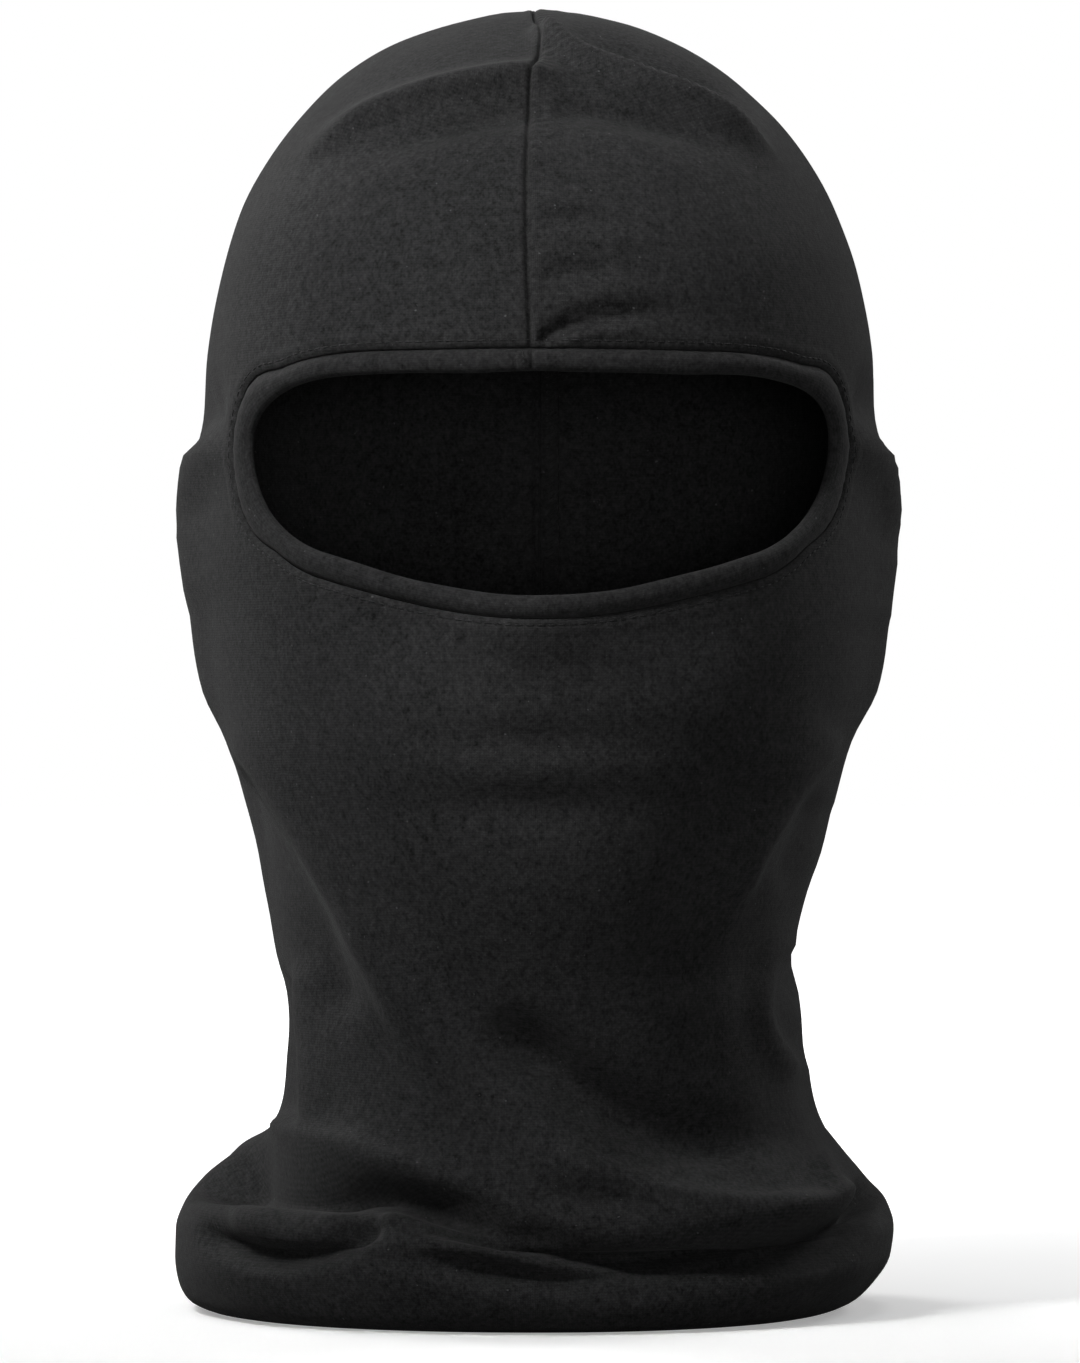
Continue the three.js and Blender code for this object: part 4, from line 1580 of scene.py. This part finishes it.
def group(name: str, given: Sequence[str], made: Sequence[str]) -> bpy.types.NodeTree:
    """A new shader node group.

    Args:
        name: its name.
        given: its inputs; a name that ends in "Place" is a vector, any other a number.
        made: its outputs, all numbers.
    Returns:
        The group.
    """
    tree = bpy.data.node_groups.new(name, "ShaderNodeTree")
    for word in given:
        kind = "NodeSocketVector" if word.endswith("Place") else "NodeSocketFloat"
        tree.interface.new_socket(word, in_out="INPUT", socket_type=kind)
    for word in made:
        tree.interface.new_socket(word, in_out="OUTPUT", socket_type="NodeSocketFloat")
    return tree


def knit_group() -> bpy.types.NodeTree:
    """Single jersey: columns of V-shaped loops."""
    made = group("jersey_loops", ("Pattern Place", "Wale", "Course"), ("Height",))
    t = Tree(made)
    given = t.node("NodeGroupInput")
    parts = t.node("ShaderNodeSeparateXYZ", {"Vector": given.outputs["Pattern Place"]})
    wobble = t.noise(given.outputs["Pattern Place"], 260.0, 2.0)
    u, v = (
        t.math("ADD", t.math("DIVIDE", parts.outputs[axis], given.outputs[size]), wobble)
        for axis, size in enumerate(("Wale", "Course"))
    )
    column = t.math("PINGPONG", u, 0.5)
    legs = t.math("SINE", t.math("MULTIPLY", column, 2 * math.pi))
    slant = t.math("ADD", v, t.math("MULTIPLY", column, 1.1))
    loops = t.math("MULTIPLY_ADD", t.math("SINE", t.math("MULTIPLY", slant, 2 * math.pi)), 0.5, 0.5)
    legs = t.math("POWER", t.math("ABSOLUTE", legs), 0.7)
    height = t.math("MULTIPLY", legs, t.math("MULTIPLY_ADD", loops, 0.55, 0.45))
    t.node("NodeGroupOutput", {"Height": height})
    return made


def lint_group() -> bpy.types.NodeTree:
    """Uneven dye, wear and clinging lint."""
    made = group("fabric_mottle", ("Object Place",), ("Tone", "Lint", "Height"))
    t = Tree(made)
    place = t.node("NodeGroupInput").outputs["Object Place"]
    fine, middle = t.noise(place, 1500.0, 2.0), t.noise(place, 760.0, 3.0)
    tone = t.between(fine, 0.1, 1.9)
    wide, slow = t.noise(place, 340.0, 3.0), t.noise(place, 26.0, 3.0)
    for layer, swing in ((middle, 0.9), (wide, 0.45), (slow, 0.35)):
        tone = t.math("ADD", tone, t.between(layer, -swing, swing))
    tone = t.math("MAXIMUM", tone, 0.2)
    lint = t.math("GREATER_THAN", t.noise(place, 900.0, 1.0), 0.79)
    height = t.math("ADD", t.math("MULTIPLY", middle, 0.7), t.math("MULTIPLY", fine, 0.3))
    t.node("NodeGroupOutput", {"Tone": tone, "Lint": lint, "Height": height})
    return made


class Groups:
    """The node groups that the finishes share."""

    def __init__(self) -> None:
        """Makes them."""
        self.knit = knit_group()
        self.lint = lint_group()


@dataclass(frozen=True)
class KnitFinish:
    """A matte knitted fabric, with the width of a column of loops and the height of a loop."""

    name: str
    base: tuple[float, float, float]
    wale: float = WALE
    course: float = COURSE
    relief: float = 0.7
    sheen: float = 0.05
    seam_marks: bool = False
    lint: tuple[float, float, float, float] = (0.16, 0.16, 0.165, 1)

    def make(self, groups: Groups) -> bpy.types.Material:
        """Makes the material.

        Args:
            groups: the shared node groups.
        Returns:
            The material, which reads the piece's "pattern" UV map.
        """
        material, t = new_material(self.name)
        place = t.node("ShaderNodeTexCoord").outputs["Object"]
        pattern = t.node("ShaderNodeUVMap", uv_map="pattern").outputs[0]
        sizes = {"Pattern Place": pattern, "Wale": self.wale, "Course": self.course}
        loops = t.node("ShaderNodeGroup", sizes, node_tree=groups.knit).outputs["Height"]
        lint = t.node("ShaderNodeGroup", {"Object Place": place}, node_tree=groups.lint).outputs
        # Painted shade: the colour is darker in the gaps between the knit's loops and lighter on their tops,
        # times the dye's uneven tone.
        shade = t.math("MULTIPLY", lint["Tone"], t.between(loops, 0.62, 1.18))
        amount = t.math("MULTIPLY", lint["Lint"], 0.35)
        mix = {"Factor": amount, 6: t.scaled(self.base, shade), 7: self.lint}
        colour = t.node("ShaderNodeMix", mix, data_type="RGBA").outputs[2]
        height = t.math("ADD", t.math("MULTIPLY", loops, 0.055), t.math("MULTIPLY", lint["Height"], 0.16))
        if self.seam_marks:
            height = t.math("ADD", height, self.marks(t))
        t.dress(
            {
                "Base Color": colour,
                "Roughness": t.between(lint["Height"], 0.78, 0.98),
                "Normal": t.bumped(height, self.relief, MM),
                "Sheen Weight": self.sheen,
                "Sheen Roughness": 0.5,
                "Sheen Tint": (1.0, 1.0, 1.0, 1.0),
                "Specular IOR Level": 0.12,
            }
        )
        return material

    @staticmethod
    def marks(t: Tree) -> bpy.types.NodeSocket:
        """The overlocked edges, pressed through the cloth beside the seam.

        Args:
            t: the material's tree.
        Returns:
            The height of the marks, which reads the piece's "beside_seam" UV map.
        """
        beside = t.node("ShaderNodeUVMap", uv_map="beside_seam").outputs[0]
        parts = t.node("ShaderNodeSeparateXYZ", {"Vector": beside})
        across = t.math("DIVIDE", parts.outputs[0], MM)
        ticks = t.math("SINE", t.math("MULTIPLY", parts.outputs[1], 2 * math.pi / (2.4 * MM)))
        near, far = (
            t.node("ShaderNodeMapRange", {0: across, **ends}, interpolation_type="SMOOTHSTEP").outputs[0]
            for ends in ({1: 0.3, 2: 1.0}, {1: 3.6, 2: 5.6, 3: 1.0, 4: 0.0})
        )
        return t.math("MULTIPLY", t.math("MULTIPLY", t.math("MULTIPLY", near, far), ticks), 0.08)


# The hood's face, its raw edges inside, and the folded band.
KNITS = (
    KnitFinish("jersey", (0.0212, 0.0212, 0.0214), relief=0.8, sheen=0.03, seam_marks=True),
    KnitFinish("jersey_inside", (0.022, 0.022, 0.0222)),
    KnitFinish("band_jersey", (0.0195, 0.0195, 0.0197), wale=0.6 * MM, course=0.6 * MM, sheen=0.03),
)


@dataclass(frozen=True)
class ThreadFinish:
    """Spun polyester thread, with its turns of twist in a metre."""

    name: str
    base: tuple[float, float, float]
    twist: float = 1400.0

    def make(self) -> bpy.types.Material:
        """Makes the material."""
        material, t = new_material(self.name)
        place = t.node("ShaderNodeTexCoord").outputs["Object"]
        x, y, z = t.node("ShaderNodeSeparateXYZ", {"Vector": place}).outputs
        along = t.math("ADD", t.math("ADD", x, y), z)
        ply = t.math("SINE", t.math("MULTIPLY", along, self.twist * 2 * math.pi))
        fuzz = t.noise(place, 2600.0, 2.0)
        # Painted shade: the colour is darker in the grooves of the twist, times a random tone from the fuzz.
        shade = t.math("MULTIPLY", t.between(fuzz, 0.7, 1.3), t.math("MULTIPLY_ADD", ply, 0.15, 0.85))
        height = t.math("ADD", t.math("MULTIPLY", ply, 0.5), fuzz)
        t.dress(
            {
                "Base Color": t.scaled(self.base, shade),
                "Roughness": t.between(fuzz, 0.5, 0.8),
                "Normal": t.bumped(height, 0.5, 0.06 * MM),
                "Sheen Weight": 0.05,
                "Sheen Roughness": 0.4,
                "Specular IOR Level": 0.25,
            }
        )
        return material


# ---------------------------------------------------------------------------- stage


@dataclass(frozen=True)
class Lamp:
    """A soft square light: its place, what it looks at, its side, its watts and its fan."""

    name: str
    place: tuple[float, float, float]
    aim: tuple[float, float, float]
    size: float
    power: float
    spread: float = 180.0

    def hang(self) -> None:
        """Puts the light on the stage."""
        light = bpy.data.lights.new(self.name, "AREA")
        light.shape = "SQUARE"
        light.size, light.energy, light.spread = self.size, self.power, math.radians(self.spread)
        made = bpy.data.objects.new(self.name, light)
        made.location = self.place
        way = Vector(self.aim) - Vector(self.place)
        made.rotation_euler = way.to_track_quat("-Z", "Y").to_euler()
        bpy.context.scene.collection.objects.link(made)


# Key from the upper left and one on the crown, weak fill, floor wash, and two behind.
LAMPS: tuple[Lamp, ...] = (
    Lamp("key", (-0.60, -0.74, 1.04), (0, 0, 0.24), 0.3, 0.62, 34),
    Lamp("crown", (-0.50, -0.30, 0.62), (0, 0, 0.27), 0.2, 0.6),
    Lamp("fill", (0.1, -2.4, 0.10), (0, 0, 0.15), 0.5, 0.27, 18),
    Lamp("floor_wash", (0, 0.2, 2.6), (0, 0.9, 0), 1.6, 16),
    Lamp("back_left", (-1.4, 1.5, 1.2), (0, 0, 0.15), 0.9, 22),
    Lamp("back_right", (1.5, 1.4, 1.3), (0, 0, 0.15), 0.9, 16),
)


@dataclass
class Stage:
    """The pale floor and backdrop, the soft lights and the camera."""

    ground: float
    reach: float = 8.0

    def floor(self) -> None:
        """One wide disc of pale paper."""
        clear_selection()
        bpy.ops.mesh.primitive_circle_add(
            vertices=96, radius=self.reach, fill_type="NGON", location=(0, 0, self.ground)
        )
        paper = bpy.context.object
        paper.name = "paper_floor"
        material, t = new_material("paper")
        place = t.node("ShaderNodeTexCoord").outputs["Object"]
        seen = t.node("ShaderNodeLightPath").outputs["Is Camera Ray"]
        tone = t.math("MULTIPLY", t.between(t.noise(place, 3.0, 2.0), 0.90, 0.94), t.between(seen, 0.25, 1.0))
        colour = t.node("ShaderNodeCombineColor", {0: tone, 1: tone, 2: tone}).outputs[0]
        away = t.node("ShaderNodeVectorMath", {0: place}, operation="LENGTH").outputs["Value"]
        glow = t.node("ShaderNodeMapRange", {0: away, 1: 0.2, 2: 1.6, 3: 0.32, 4: 1.0}).outputs[0]
        t.dress(
            {
                "Base Color": colour,
                "Roughness": 0.9,
                "Emission Color": (1, 1, 1, 1),
                "Emission Strength": t.math("MULTIPLY", glow, seen),
            }
        )
        paper.data.materials.append(material)

    @staticmethod
    def lights() -> None:
        """The lamps, and a pale backdrop that gives a little light from everywhere."""
        for lamp in LAMPS:
            lamp.hang()
        world = bpy.data.worlds.new("studio")
        world.use_nodes = True
        t = Tree(world.node_tree)
        seen = t.node("ShaderNodeLightPath").outputs["Is Camera Ray"]
        back = t.node("ShaderNodeBackground", {"Color": (1, 1, 1, 1), "Strength": t.between(seen, 0.06, 1.0)})
        t.node("ShaderNodeOutputWorld", {"Surface": back.outputs[0]})
        bpy.context.scene.world = world
        bpy.context.scene.view_settings.view_transform = "Standard"

    def camera(self) -> None:
        """A long lens, square on to the face."""
        lens = bpy.data.cameras.new("camera")
        lens.sensor_fit = "VERTICAL"
        lens.sensor_height = 36.0
        lens.lens = 224.0
        lens.clip_end = 20.0
        made = bpy.data.objects.new("camera", lens)
        made.location = (0.0006, -2.0, 0.148 + self.ground)
        made.rotation_euler = (math.pi / 2, 0, 0)
        bpy.context.scene.collection.objects.link(made)
        bpy.context.scene.camera = made


# ---------------------------------------------------------------------------- the build


@dataclass
class Balaclava:
    """Every piece, built in order and put on its body."""

    groups: Groups = field(default_factory=Groups)
    pieces: list[bpy.types.Object] = field(default_factory=list)

    def take(
        self, piece: bpy.types.Object, material: bpy.types.Material, slot: str, *nodes: str
    ) -> bpy.types.Object:
        """Dresses a piece, hides the CAD parts that it stands for, and puts it on its body.

        Args:
            piece: the piece.
            material: its finish.
            slot: the record's material slot; not used.
            nodes: the CAD nodes that it stands for.
        Returns:
            The piece.
        """
        piece.data.materials.clear()
        piece.data.materials.append(material)
        if nodes:
            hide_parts(*nodes)
        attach(piece, BODY)
        self.pieces.append(piece)
        log.info("%s: %d faces", piece.name, len(piece.data.polygons))
        return piece

    def build(self) -> None:
        """Builds the hood, the band, the seam and the hem."""
        low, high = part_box("hood_panel")
        form = HoodForm(Vector(low), Vector(high), FOLDS)
        opening = EyeOpening()
        seam = ClosingSeam(form, opening)
        jersey, plain, folded = (finish.make(self.groups) for finish in KNITS)
        thread = ThreadFinish("thread", (0.011, 0.011, 0.0112)).make()
        hood = self.take(HoodPanel(form, opening, seam).build(), jersey, "jersey", "hood_panel")
        band, inner, hem = EyeBand(form, opening), SeamPieces(seam), NeckHem(form)
        self.take(band.build(), folded, "band", "eye_band")
        self.take(band.needle_row(), thread, "thread", "eye_band_needle_thread")
        self.take(band.overlock_row(), thread, "thread", "eye_band_overlock_thread")
        self.take(band.join(), thread, "thread", "eye_band_join_thread")
        self.take(inner.allowance(), plain, "jersey")
        self.take(inner.needle_row(), thread, "thread", "closing_seam_needle_thread")
        self.take(inner.overlock_row(), thread, "thread", "closing_seam_overlock_thread")
        for row, side in enumerate(("lower", "upper")):
            sewn = hem.needle_row(row, f"neck_hem_{side}_stitches")
            self.take(sewn, thread, "thread", f"neck_hem_{side}_needle_thread")
        self.take(hem.looper(), thread, "thread", "neck_hem_looper_thread")


def main() -> None:
    """Builds the balaclava and its stage."""
    logging.basicConfig(level=logging.INFO, format="%(name)s: %(message)s")
    Balaclava().build()
    stage = Stage(CAD_BOX[0][2])
    stage.floor()
    stage.lights()
    stage.camera()


if __name__ == "__main__":
    main()
